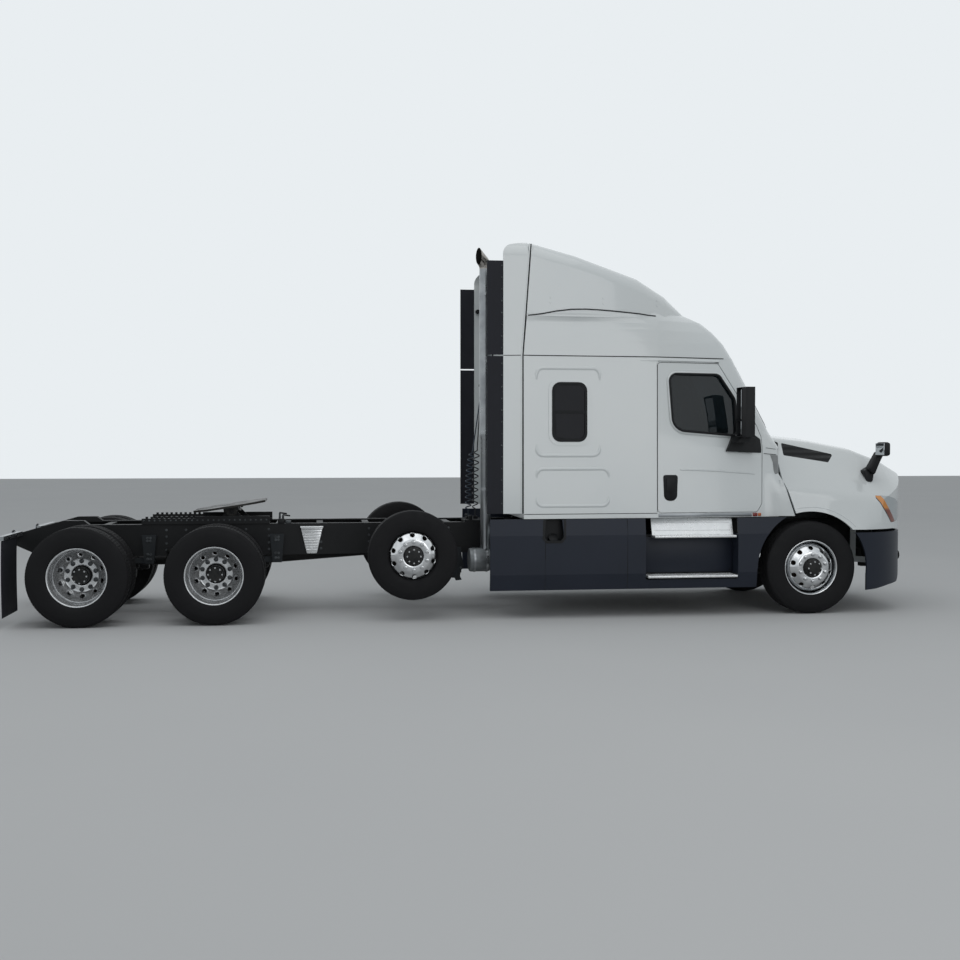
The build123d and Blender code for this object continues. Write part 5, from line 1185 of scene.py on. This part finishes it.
# Drum iron: a brown, rough ring behind the holes.
cast_drum = surface("rusted_drum_iron", "#3B332D", "#54453A", (0.7, 0.9), 40, 3, 0.4)
disc = disc_form()
barrel = barrel_form()
steer_hub = hub_form(disc_face - 0.002, 0.060, True)
drive_hub = hub_form(0.0, 0.150, False)
nuts = nut_ring(disc_face)
dual_nuts = nut_ring(0.0)
drum = drum_form(-0.103)
dual_drum = drum_form(0.660)
dual_face = 0.907
for side, sign in sides.items():
    for axle, (x, z, form) in single_wheels.items():
        y = sign * single_wheel_y
        body = f"wheel_{axle}_{side}"
        rim = wheel_piece(f"{axle}_rim_{side}", [(disc, x, y, z, sign), (barrel, x, y, z, sign)],
                          (polished_rim,), (f"rim_{axle}_{side}",), body)
        forged(rim)
        wheel_piece(f"{axle}_hub_{side}", [(steer_hub, x, y, z, sign)], (hub_enamel, nut_steel, hub_window),
                    (f"rim_{axle}_{side}",), body)
        wheel_piece(f"{axle}_nuts_{side}", [(nuts, x, y, z, sign)], (nut_steel,), (f"rim_{axle}_{side}",),
                    body)
        wheel_piece(f"{axle}_drum_{side}", [(drum, x, y, z, sign)], (cast_drum,), (f"rim_{axle}_{side}",),
                    body)
    for axle, x in drive_x.items():
        body = f"wheels_drive_{axle}_{side}"
        node = f"rims_drive_{axle}_{side}"
        twin = []
        for y, facing in ((dual_inner_y, sign), (dual_outer_y, -sign)):
            twin += [(form, x, sign * y, axle_height, facing) for form in (disc, barrel)]
        rims = wheel_piece(f"drive_{axle}_rims_{side}", twin, (dished_rim_painted_light,), (node,), body)
        forged(rims)
        wheel_piece(f"drive_{axle}_hub_{side}", [(drive_hub, x, sign * dual_face, axle_height, sign)],
                    (hub_enamel, nut_steel), (node,), body)
        wheel_piece(f"drive_{axle}_nuts_{side}",
                    [(dual_nuts, x, sign * (dual_face + disc_thick), axle_height, sign)],
                    (capped_nut,), (node,), body)
        wheel_piece(f"drive_{axle}_drum_{side}", [(dual_drum, x, 0, axle_height, sign)], (cast_drum,),
                    (node,), body)
for form in (ribbed_tyre, lift_tyre, block_tyre, disc, barrel, steer_hub, drive_hub, nuts, dual_nuts, drum,
             dual_drum):
    form.free()

# Frame: two pressed steel C-rails with cross-members between them, in black chassis enamel, held by
# rows of collared bolts. A ribbed bright step plate hangs on each rail ahead of the drive axles.
# Chassis enamel: black with a soft sheen and some road dust.
chassis_enamel = surface("black_chassis_enamel", "#121315", "#1B1C1D", (0.38, 0.6), 260, 3, 0.25, **dusty)
# Cast brackets: rough dark grey, so that they part from the black rails.
cast_bracket = surface("grey_cast_bracket", "#23272B", "#2C2F31", (0.55, 0.7), 120, 4, 0.35, **dusty)
# Zinc-plated bolts: small dull grey heads.
bolt_steel = surface("zinc_bolt_steel", "#55585A", "#3E4042", (0.4, 0.55), 30, 1.5, 0.2, Metallic=1.0)


def dress(node, finish, ease=0.003, more=(), pieces=None, body="chassis_and_cab"):
    """A CAD node's own shape with rounded edges and the shapes of another form, as its piece."""
    form = eased(node)
    if pieces:
        extra = bpy.data.meshes.new("extra")
        pieces.to_mesh(extra)
        pieces.free()
        form.from_mesh(extra)
    made = show(f"{node}_dressed", as_mesh(form, f"{node}_dressed"), body, finish, *more, stands_for=(node,))
    round_edges(made, ease, 35)


frame_bolts = bmesh.new()
rail_face = -0.4315
columns = [-4.05, -3.86, -3.26, -3.06, -2.44, -2.2, -1.75, -1.65, -1.14, -1.02, -0.95, -0.40, -0.28, 0.12,
           0.24, 0.44, 0.53, 1.25, 1.33, 1.80, 1.88, 2.60, 2.70]
for x in columns:
    for z in (0.70, 0.77, 0.84, 0.91):
        bolt(frame_bolts, (x, rail_face, z), (0, -1, 0), 0.011, 1)
for index in range(24):
    bolt(frame_bolts, (-3.49 + index * 0.055, rail_face - 0.02, 1.012), (0, -1, 0), 0.008, 1)
both_sides(frame_bolts)
dress("frame_rails", chassis_enamel, 0.004, (bolt_steel,), frame_bolts)
dress("crossmembers", chassis_enamel)

rail_step = bmesh.new()
step_x = -1.749
outline = [(-1.868, 0.938), (-1.630, 0.938), (-1.632, 0.925), (-1.694, 0.655), (-1.700, 0.648),
           (-1.798, 0.648), (-1.804, 0.655), (-1.866, 0.925)]
plate(rail_step, outline, -0.4325, -0.452, 0, 0.005)
bar(rail_step, (-1.870, -0.530, 0.926), (-1.628, -0.432, 0.941), 0.003)
for index in range(9):
    z = 0.905 - 0.027 * index
    half = 0.113 - (0.925 - z) * 0.235
    rod(rail_step, (step_x - half, -0.4525, z), (step_x + half, -0.4525, z), 0.005, 8)
for z in (0.70, 0.88):
    bolt(rail_step, (step_x, -0.452, z), (0, -1, 0), 0.010)
piece("rail_steps", rail_step, tread_aluminium)

# Axles and steering: a forged drop beam in front on leaf springs, cast knuckles and a tie rod, the two
# driven axles with their shafts, the lift axle on its arms, and the air suspension of the tandem.
# Enamel on forgings: black over a rough skin.
forged_black = surface("forged_black_enamel", "#17181A", "#242322", (0.5, 0.68), 140, 4, 0.4, **dusty)
# Spring steel: near black, with a brown tinge of rust.
spring_leaf = surface("shot_peened_spring_steel", "#1C1B1B", "#2E2925", (0.55, 0.72), 90, 3, 0.4, **dusty)
# Air spring rubber: matt black rolls.
air_bag = surface("rubber_air_spring", "#131314", "#1C1C1C", (0.6, 0.75), 60, 2, 0.3, **dusty)
# Chamber enamel: smooth black with a clearer highlight than the axle's.
chamber_enamel = surface("black_chamber_enamel", "#17181A", "#1F2021", (0.3, 0.45), 60, 2, 0.1, **dusty)

springs = bmesh.new()
for x in (3.43, 3.49, 3.585, 3.645):
    for y in (-0.470, -0.372):
        rod(springs, (x, y, 0.51), (x, y, 0.654), 0.009, 12, 1)
        bolt(springs, (x, y, 0.622), (0, 0, 1), 0.013, 1)
both_sides(springs)
dress("front_springs", spring_leaf, 0.002, (bolt_steel,), springs)
front_beam = bmesh.new()
for y in (-0.62, -0.55):
    rod(front_beam, (3.44, y, 0.47), (3.425, y, 0.47), 0.012, 12, 0)
both_sides(front_beam)
dress("front_axle", forged_black, 0.006, (), front_beam)
for side in sides:
    dress(f"knuckle_{side}", forged_black, 0.005, body=f"knuckle_{side}")
dress("tie_rod", forged_black, body="tie_rod")

drive_parts = bmesh.new()
cover_circle = 0.196
yoke_circle = 0.070
for x in drive_x.values():
    for along, rise in circle(16, cover_circle):
        bolt(drive_parts, (x + along, 0.078, axle_height + rise), (0, 1, 0), 0.009, 1)
    for across, rise in circle(8, yoke_circle):
        bolt(drive_parts, (x + 0.4295, across, 0.56 + rise), (1, 0, 0), 0.008, 1)
dress("drive_axles", forged_black, 0.004, (bolt_steel,), drive_parts)

bags = bmesh.new()
for x in drive_x.values():
    for low in (0.585, 0.655):
        turned(bags, [(0, 0.07), (0.004, 0.100), (0.018, 0.1135), (0.034, 0.1175), (0.050, 0.1135),
                      (0.064, 0.100), (0.068, 0.07)], (x - 0.44, -0.402, low), (0, 0, 1), 32, 1)
    for z in (0.61, 0.66, 0.80, 0.83):
        bolt(bags, (x + 0.585, -0.4785, z), (0, -1, 0), 0.012, 2)
        bolt(bags, (x + 0.615, -0.4785, z), (0, -1, 0), 0.012, 2)
both_sides(bags)
dress("rear_suspension", cast_bracket, 0.005, (air_bag, bolt_steel), bags)
dress("lift_axle", forged_black, 0.004)
hangers = bmesh.new()
plate(hangers, [(-0.300, 0.700), (-0.300, 0.450), (-0.270, 0.372), (-0.215, 0.365), (-0.205, 0.338),
                (-0.140, 0.345), (-0.160, 0.385), (-0.150, 0.450), (-0.125, 0.470), (-0.118, 0.520),
                (-0.135, 0.560), (-0.150, 0.700)], -0.440, -0.472, 0, 0.004)
for x, z in ((-0.150, 0.479), (-0.225, 0.66), (-0.225, 0.60), (-0.255, 0.42)):
    bolt(hangers, (x, -0.472, z), (0, -1, 0), 0.012, 1)
piece("lift_arm_hangers", hangers, cast_bracket, bolt_steel)

chambers = bmesh.new()
chamber_profile = [(0, 0.0), (0, 0.052), (0.012, 0.064), (0.060, 0.066), (0.064, 0.071), (0.076, 0.071),
                   (0.080, 0.066), (0.120, 0.066), (0.124, 0.070), (0.136, 0.070), (0.140, 0.064),
                   (0.195, 0.060), (0.215, 0.045), (0.218, 0.0)]
for x, y, z in ((-2.455, -0.502, 0.470), (-3.776, -0.502, 0.470), (-0.600, -0.600, 0.560)):
    turned(chambers, chamber_profile, (x, y, z), (1, 0, 0), 32, 0)
    rod(chambers, (x - 0.09, y, z), (x, y, z), 0.010, 12, 1)
    bar(chambers, (x - 0.115, y - 0.012, z - 0.03), (x - 0.085, y + 0.012, z + 0.015), 0.003, 1)
    bar(chambers, (x - 0.012, y - 0.05, z - 0.05), (x, y + 0.09, z + 0.05), 0.003, 0)
    rod(chambers, (x + 0.10, y + 0.03, z + 0.06), (x + 0.10, y + 0.03, z + 0.10), 0.008, 10, 1)
piece("brake_chambers", chambers, chamber_enamel, bolt_steel)

# Engine, gearbox and radiator: plain cast blocks under the hood, bolted between the rails, with a row
# of bolts along the engine's side.
# Engine enamel: mid grey on a coarse casting.
engine_enamel = surface("grey_cast_engine_enamel", "#4A4E50", "#3A3C3C", (0.45, 0.62), 120, 4, 0.4)
engine_parts = bmesh.new()
for index in range(14):
    bolt(engine_parts, (3.02 + 0.09 * index, -0.30, 1.20), (0, -1, 0), 0.010, 1)
dress("powertrain", engine_enamel, 0.012, (bolt_steel,), engine_parts)

# Exhaust: a plain bright stack whose tip bends to the roadside and is cut upright, a riser and the
# grey after-treatment can below. Bands and stays bolt it to the sleeper's back.
# Satin stainless steel: a bright tube with a wide, soft highlight.
satin_stack = surface("satin_stainless_tube", "#A4A7A9", "#8E9194", (0.25, 0.38), 150, 1.5, 0.1, Metallic=1.0)
# Heat-stained steel: the same tube, turned warm and brown by the gas.
bright_tip = surface("heat_stained_tip", "#A8A39E", "#8D8883", (0.22, 0.34), 80, 1.5, 0.05, Metallic=1.0)
# Aluminised steel: a dull grey can.
can_steel = surface("aluminised_can_steel", "#7E8284", "#6B6E70", (0.42, 0.55), 90, 2, 0.2, Metallic=0.7)
stack_x, stack_y = 0.0775, -0.75
stack_radius = 0.063
can_z = 0.588


def tube_along(form, points, radii, sides=32, finish=0):
    """A tube through places with a radius at each."""
    rings = []
    for index, place in enumerate(points):
        ahead = points[min(index + 1, len(points) - 1)]
        behind = points[max(index - 1, 0)]
        along = (ahead - behind).normalized()
        across = along.cross(Vector((0, 1, 0))).normalized()
        other = along.cross(across)
        rings.append([form.verts.new(place + (across * math.cos(2 * math.pi * step / sides)
                                              + other * math.sin(2 * math.pi * step / sides)) * radii[index])
                      for step in range(sides)])
    weave(form, rings, True)
    tag_new(form, finish)
    return rings


stack = bmesh.new()
lean = Vector((-math.cos(math.radians(22)), -math.sin(math.radians(22)), 0))
foot = Vector((stack_x, stack_y, 3.66))
bend = [foot + lean * 0.12 * (1 - math.cos(turn)) + Vector((0, 0, 0.12 * math.sin(turn)))
        for turn in (0.0, 0.16, 0.32, 0.48, 0.64, math.pi / 4)]
run = [Vector((stack_x, stack_y, z)) for z in (1.90, 2.5, 3.1, 3.5)] + bend
tube_along(stack, run[:5], [stack_radius] * 5, 40, 0)
for radius, reach, finish in ((stack_radius, 4, 1), (stack_radius - 0.0035, 6, 4)):
    rings = tube_along(stack, run[reach:], [radius] * len(run[reach:]), 40, finish)
    last = []
    for vertex in rings[-1]:
        share = 0.080 - (vertex.co - foot).dot(lean)
        last.append(stack.verts.new(vertex.co + (lean + Vector((0, 0, 1))) * share))
    for step in range(40):
        after = (step + 1) % 40
        stack.faces.new((rings[-1][step], rings[-1][after], last[after], last[step]))
        if radius < stack_radius:
            stack.faces.new((rim[step], rim[after], last[after], last[step]))
    rim = last
    tag_new(stack, finish)
turned(stack, [(can_z, 0.0), (can_z, 0.054), (1.86, 0.054), (1.89, 0.0632), (1.93, 0.0632)],
       (stack_x, stack_y, 0), (0, 0, 1), 40, 0)
for z, radius in ((0.70, 0.058), (1.32, 0.058), (1.93, 0.0665), (2.28, 0.0665), (3.37, 0.0665)):
    turned(stack, [(z, 0.0), (z, radius), (z + 0.035, radius), (z + 0.035, 0.0)], (stack_x, stack_y, 0),
           (0, 0, 1), 40, 0)
    bar(stack, (stack_x - 0.012, stack_y - radius - 0.02, z + 0.003),
        (stack_x + 0.012, stack_y - radius + 0.006, z + 0.032), 0.002, 0)
turned(stack, [(-0.1025, 0.0), (-0.1025, 0.105), (-0.095, 0.121), (-0.080, 0.1255), (0.100, 0.1255),
               (0.115, 0.121), (0.1275, 0.105), (0.1275, 0.0)], (0, stack_y, can_z), (1, 0, 0), 48, 3)
for x in (-0.055, 0.075):
    turned(stack, [(x, 0.1255), (x, 0.130), (x + 0.02, 0.130), (x + 0.02, 0.1255)], (0, stack_y, can_z),
           (1, 0, 0), 48, 0)
for z in (1.95, 2.30):
    bar(stack, (stack_x + 0.05, stack_y - 0.025, z - 0.02), (0.4170, stack_y + 0.025, z + 0.02), 0.003, 2)
    bar(stack, (0.405, stack_y - 0.06, z - 0.06), (0.4172, stack_y + 0.06, z + 0.06), 0.003, 2)
# Soot and painted shade: the black inside of the pipe's mouth.
stack_shadow = surface("soot_and_painted_shade_tube_inside", "#1B1A19", "#262423", (0.8, 0.9), 60, 3, 0.2, **dusty)
piece("exhaust_pipework", stack, satin_stack, bright_tip, chassis_enamel, can_steel, stack_shadow,
      twin=False, angle=35, stands_for=("exhaust_stack",))

# Hose pole and shelf: a steel post with a hook bar, clamped to the sleeper's back, and the shelf with
# two air couplings of turned steel. All are in black chassis enamel.
dress("hose_pole", chassis_enamel, 0.002)
couplings = bmesh.new()
for y in (-0.13, -0.40):
    rod(couplings, (-0.04, y, 0.99), (-0.04, y, 1.03), 0.022, 20, 0)
    rod(couplings, (-0.04, y, 1.03), (-0.04, y, 1.042), 0.026, 20, 1)
for z in (1.30, 2.30):
    rod(couplings, (0.13, -0.2, z - 0.02), (0.13, -0.2, z + 0.02), 0.018, 16, 0)
piece("coupling_sockets", couplings, chassis_enamel, bolt_steel, twin=False)

# The side extenders' rubber flaps behind the sleeper, each held by a row of bolts, and the marker lamp
# with its bright strip near the top of each extender.
# Moulded rubber: a bluish matt black sheet.
flap_rubber = surface("moulded_flap_rubber", "#1D1E24", "#25262C", (0.55, 0.7), 200, 3, 0.2, **dusty)
flap_bolts = bmesh.new()
bolt_pitch = 0.12
for first_z, count in ((1.20, 13), (2.80, 8)):
    for index in range(count):
        bolt(flap_bolts, (0.192, -1.1575, first_z + bolt_pitch * index), (0, -1, 0), 0.007, 1)
both_sides(flap_bolts)
marker = bmesh.new()
rod(marker, (0.244, -1.1315, 3.42), (0.244, -1.085, 3.42), 0.026, 20, 1)
bar(marker, (0.262, -1.1325, 3.405), (0.375, -1.120, 3.435), 0.003, 2)
piece("extender_markers", marker, chassis_enamel, moulded_black, bolt_steel, angle=None)
dress("extender_flaps", flap_rubber, 0.003, (bolt_steel,), flap_bolts)

# Fifth wheel: a cast plate, greased on top, that rocks on two pins in a carriage, which slides along
# toothed rails bolted to the frame. Air valves for the slide's lock stand on the right rail.
# Greased casting: dark with wet, uneven patches of shine.
plate_cast = surface("greased_cast_plate", "#1B1B1A", "#2C2A27", (0.28, 0.5), 160, 5, 0.4, **dusty)
# Worn rack: teeth rubbed bright on a dark rail.
worn_teeth = surface("worn_rack_steel", "#8A8C8E", "#4B4C4D", (0.3, 0.5), 60, 2, 0.3, Metallic=0.7)
dress("fifth_wheel_plate", plate_cast, 0.006, body="fifth_wheel_plate")
pivot = Vector((-2.5925, 0, 1.1))
pin_radius = 0.026
carriage = eased("fifth_wheel_carriage")
for vertex in carriage.verts:
    spoke = (vertex.co - pivot) * Vector((1, 0, 1))
    if pin_radius - 0.0003 < spoke.length < pin_radius + 0.00005:
        vertex.co -= spoke.normalized() * 0.0006
carriage_piece = show("fifth_wheel_carriage_dressed", as_mesh(carriage, "fifth_wheel_carriage_dressed"),
                      "fifth_wheel_carriage", chassis_enamel, stands_for=("fifth_wheel_carriage",))
round_edges(carriage_piece, 0.004, 35)
valves = bmesh.new()
bar(valves, (-2.105, -0.440, 0.968), (-2.035, -0.365, 1.020), 0.004, 0)
for x, y, top in ((-2.085, -0.425, 1.085), (-2.052, -0.385, 1.060)):
    rod(valves, (x, y, 1.015), (x, y, top), 0.010, 12, 1)
    rod(valves, (x, y, 1.030), (x, y, 1.044), 0.014, 6, 1)
    rod(valves, (x - 0.004, y, top), (x + 0.075, y, top - 0.012), 0.008, 12, 0)
bar(valves, (-2.028, -0.430, 0.968), (-1.968, -0.385, 1.002), 0.003, 1)
piece("slide_lock_valves", valves, chassis_enamel, bolt_steel, twin=False)
rail_form = eased("slide_rails")
for face in rail_form.faces:
    face.material_index = int(face.normal.z > 0.7 and face.calc_center_median().z > 1.0)
slides = show("slide_rails_dressed", as_mesh(rail_form, "slide_rails_dressed"), "chassis_and_cab",
              chassis_enamel, worn_teeth, stands_for=("slide_rails",))
round_edges(slides, 0.002, 35)

# Tail: satin stainless bars, bolted across the rails' ends, round stop lamps in rubber rings, and the
# mudflaps of moulded rubber, which hang from the bars and bow a little.
tail = bmesh.new()
lamp_middle = (-4.768, -0.54, 0.871)
turned(tail, [(0.0, 0.0), (0.0, 0.060), (0.014, 0.060), (0.018, 0.052), (0.010, 0.050), (0.010, 0.0)],
       lamp_middle, (-1, 0, 0), 32, 1)
turned(tail, [(0.010, 0.0), (0.010, 0.050), (0.020, 0.047), (0.027, 0.035), (0.0295, 0.0)], lamp_middle,
       (-1, 0, 0), 32, 2)
for y in (-1.17, -0.95, -0.72):
    bolt(tail, (-4.7125, y, 0.891), (1, 0, 0), 0.010, 3)
both_sides(tail)
dress("tail_bars", satin_stack, 0.003, (gasket_rubber, red_lens, bolt_steel), tail)
flaps = bmesh.new()
flap_top = 0.866
flap_drop = 0.754
flap_bow = 0.0055
rows = []
for share in [step / 12 for step in range(13)]:
    rows.append([flaps.verts.new((-4.7365 - flap_bow * math.sin(math.pi * share), y,
                                  flap_top - flap_drop * share))
                 for y in (-1.2045, -1.05, -0.90, -0.75, -0.6005)])
weave(flaps, rows)
bmesh.ops.recalc_face_normals(flaps, faces=flaps.faces)
bmesh.ops.solidify(flaps, geom=flaps.faces[:], thickness=0.007)
piece("mudflaps_dressed", flaps, flap_rubber, angle=40, stands_for=("mudflaps",))

# Cab interior: two seats with upholstered cushions on air-sprung bases, a soft-trimmed dash, the
# steering wheel and the sleeper's bunk with its mattress. Cloth and foam are padded and soft.
# Woven cloth: dull dark grey with a coarse grain.
seat_cloth = surface("woven_seat_cloth", "#3A3D40", "#303336", (0.8, 0.92), 40, 3, 0.6)
# Soft vinyl: a grained, lightless charcoal.
dash_vinyl = surface("soft_dash_vinyl", "#2B2D2F", "#333537", (0.6, 0.75), 150, 3, 0.4)
# Quilted cloth: a paler, soft grey.
mattress_cloth = surface("quilted_mattress_cloth", "#6B6E72", "#5D6064", (0.85, 0.95), 120, 5, 0.6)
# Laminate: a smooth mid grey panel.
bunk_laminate = surface("grey_bunk_laminate", "#4F5254", "#44474A", (0.5, 0.62), 200, 3, 0.2)


def cushion(low, high, crown, seams, lean=0.0, pivot=(0, 0), cells=14):
    """A stuffed pad: its broad faces swell, its edges are round and stitched seams run along it."""
    low, high = Vector(low), Vector(high)
    size = high - low
    thin = min(range(3), key=lambda axis: size[axis])
    wide = [axis for axis in range(3) if axis != thin]
    form = bmesh.new()
    made = bmesh.ops.create_cube(form, size=1)
    edges = list({edge for vertex in made["verts"] for edge in vertex.link_edges})
    bmesh.ops.subdivide_edges(form, edges=edges, cuts=cells, use_grid_fill=True)
    for vertex in form.verts:
        place = vertex.co.copy()
        swell = math.prod(max(0.0, 1 - abs(2 * place[axis]) ** 3) for axis in wide)
        round_in = [1 - 0.5 * (2 * abs(place[thin])) ** 2 * min(size[thin], 0.12) / size[axis]
                    for axis in wide]
        tuft = max(math.exp(-((place[wide[1]] - seam) / 0.03) ** 2) for seam in seams)
        place[thin] *= 1 - crown + crown * swell - 0.12 * tuft * min(1, swell * 3)
        for axis, share in zip(wide, round_in):
            place[axis] *= share
        vertex.co = (low + high) / 2 + Vector([place[axis] * size[axis] for axis in range(3)])
    centre = Matrix.Translation((pivot[0], 0, pivot[1]))
    turn = centre @ Matrix.Rotation(lean, 4, "Y") @ centre.inverted()
    bmesh.ops.transform(form, matrix=turn, verts=form.verts)
    smooth(form, 180)
    return form


seat_x = 2.2075
back_lean = math.atan2(-0.105, 0.81)
for side, sign in sides.items():
    forms = {
        "seat_cushion": cushion((seat_x - 0.245, -0.785, 1.432), (seat_x + 0.248, -0.315, 1.578), 0.16,
                                (-0.27, 0.27)),
        "seat_back": cushion((seat_x - 0.235, -0.778, 1.53), (seat_x - 0.128, -0.322, 2.07), 0.18,
                             (-0.2, 0.2), back_lean, (seat_x - 0.18, 1.5)),
        "headrest": cushion((seat_x - 0.232, -0.67, 2.09), (seat_x - 0.135, -0.43, 2.295), 0.22, (0.0,),
                            back_lean, (seat_x - 0.18, 1.5)),
    }
    for name, form in forms.items():
        if sign > 0:
            flip(form)
        pad = show(f"{name}_{side}", as_mesh(form, f"{name}_{side}", True), "chassis_and_cab", seat_cloth,
                   stands_for=("cab_interior",))

base = bmesh.new()
bar(base, (seat_x - 0.18, -0.72, 1.100), (seat_x + 0.18, -0.38, 1.16), 0.006)
for step in range(5):
    z = 1.162 + 0.046 * step
    half = 0.15 - 0.004 * (step % 2)
    bar(base, (seat_x - half, -0.69, z), (seat_x + half, -0.41, z + 0.044), 0.016)
bar(base, (seat_x - 0.20, -0.75, 1.394), (seat_x + 0.20, -0.35, 1.43), 0.006)
for y in (-0.60, -0.50):
    rod(base, (seat_x - 0.285, y, 2.02), (seat_x - 0.31, y, 2.14), 0.006, 10, 1)
piece("seat_bases", base, dash_vinyl, bolt_steel, stands_for=("cab_interior",))

dash = bmesh.new()
front_line = [(3.265, 1.830), (3.265, 1.105), (2.9775, 1.105), (2.8975, 1.42), (2.8375, 1.48), (2.8375, 1.78),
              (2.9775, 1.87), (3.1175, 1.888)]
plate(dash, front_line, -0.88, 0.88, 0, 0.012)
bar(dash, (2.822, 0.33, 1.58), (2.842, 0.77, 1.80), 0.006, 1)
for y in (0.43, 0.55, 0.67):
    turned(dash, [(0.0, 0.0), (0.0, 0.045), (0.006, 0.050), (0.010, 0.046), (0.004, 0.044), (0.004, 0.0)],
           (2.8225, y, 1.715), (-1, 0, 0), 24, 2)
bar(dash, (2.824, -0.12, 1.60), (2.842, 0.18, 1.775), 0.005, 3)
for y in (-0.78, -0.22, 0.24, 0.80):
    bar(dash, (2.828, y - 0.05, 1.70), (2.842, y + 0.05, 1.77), 0.004, 1)
    for slat in range(5):
        bar(dash, (2.824, y - 0.045, 1.708 + 0.012 * slat), (2.832, y + 0.045, 1.711 + 0.012 * slat), 0, 1)
# Display glass: black and sharp in its reflections.
screen_glass = surface("dark_display_glass", "#101214", "#14171A", (0.05, 0.1), 300, 4, 0.0)
piece("dash_panel", dash, dash_vinyl, moulded_black, nut_steel, screen_glass, twin=False,
      stands_for=("cab_interior",))

wheel_axis = Vector((-0.5523, 0, 0.8336))
wheel_centre = Vector((2.7475, 0.55, 1.740)) + wheel_axis * 0.012
steering = bmesh.new()
ring = [(0.012 * math.sin(turn), 0.210 + 0.0135 * math.cos(turn))
        for turn in [2 * math.pi * step / 12 for step in range(13)]]
turned(steering, ring, wheel_centre, wheel_axis, 48, 0)
bmesh.ops.remove_doubles(steering, verts=steering.verts, dist=1e-5)
across = Vector((0, 1, 0))
rise = across.cross(wheel_axis)
for way in (across, -across, rise):
    rod(steering, wheel_centre + way * 0.03, wheel_centre + way * 0.20, 0.013, 12, 0)
turned(steering, [(-0.025, 0.0), (-0.025, 0.055), (-0.010, 0.068), (0.006, 0.062), (0.010, 0.035),
                  (0.010, 0.0)], wheel_centre, wheel_axis, 32, 0)
rod(steering, wheel_centre - wheel_axis * 0.205, wheel_centre - wheel_axis * 0.02, 0.028, 20, 0)
piece("steering_wheel", steering, moulded_black, twin=False, angle=50, stands_for=("cab_interior",))

bunk = bmesh.new()
bar(bunk, (0.4775, -1.045, 1.1005), (1.3170, 1.045, 1.40), 0.008)
for y in (-0.52, 0.52):
    bar(bunk, (1.3155, y - 0.46, 1.13), (1.3174, y + 0.46, 1.38), 0.0, 1)
piece("bunk_base", bunk, bunk_laminate, dash_vinyl, twin=False, stands_for=("cab_interior",))
mattress = cushion((0.482, -1.040, 1.402), (1.312, 1.040, 1.579), 0.12, (-0.3, -0.1, 0.1, 0.3), cells=24)
mattress_pad = show("bunk_mattress", as_mesh(mattress, "bunk_mattress", True), "chassis_and_cab",
                    mattress_cloth,
                    stands_for=("cab_interior",))
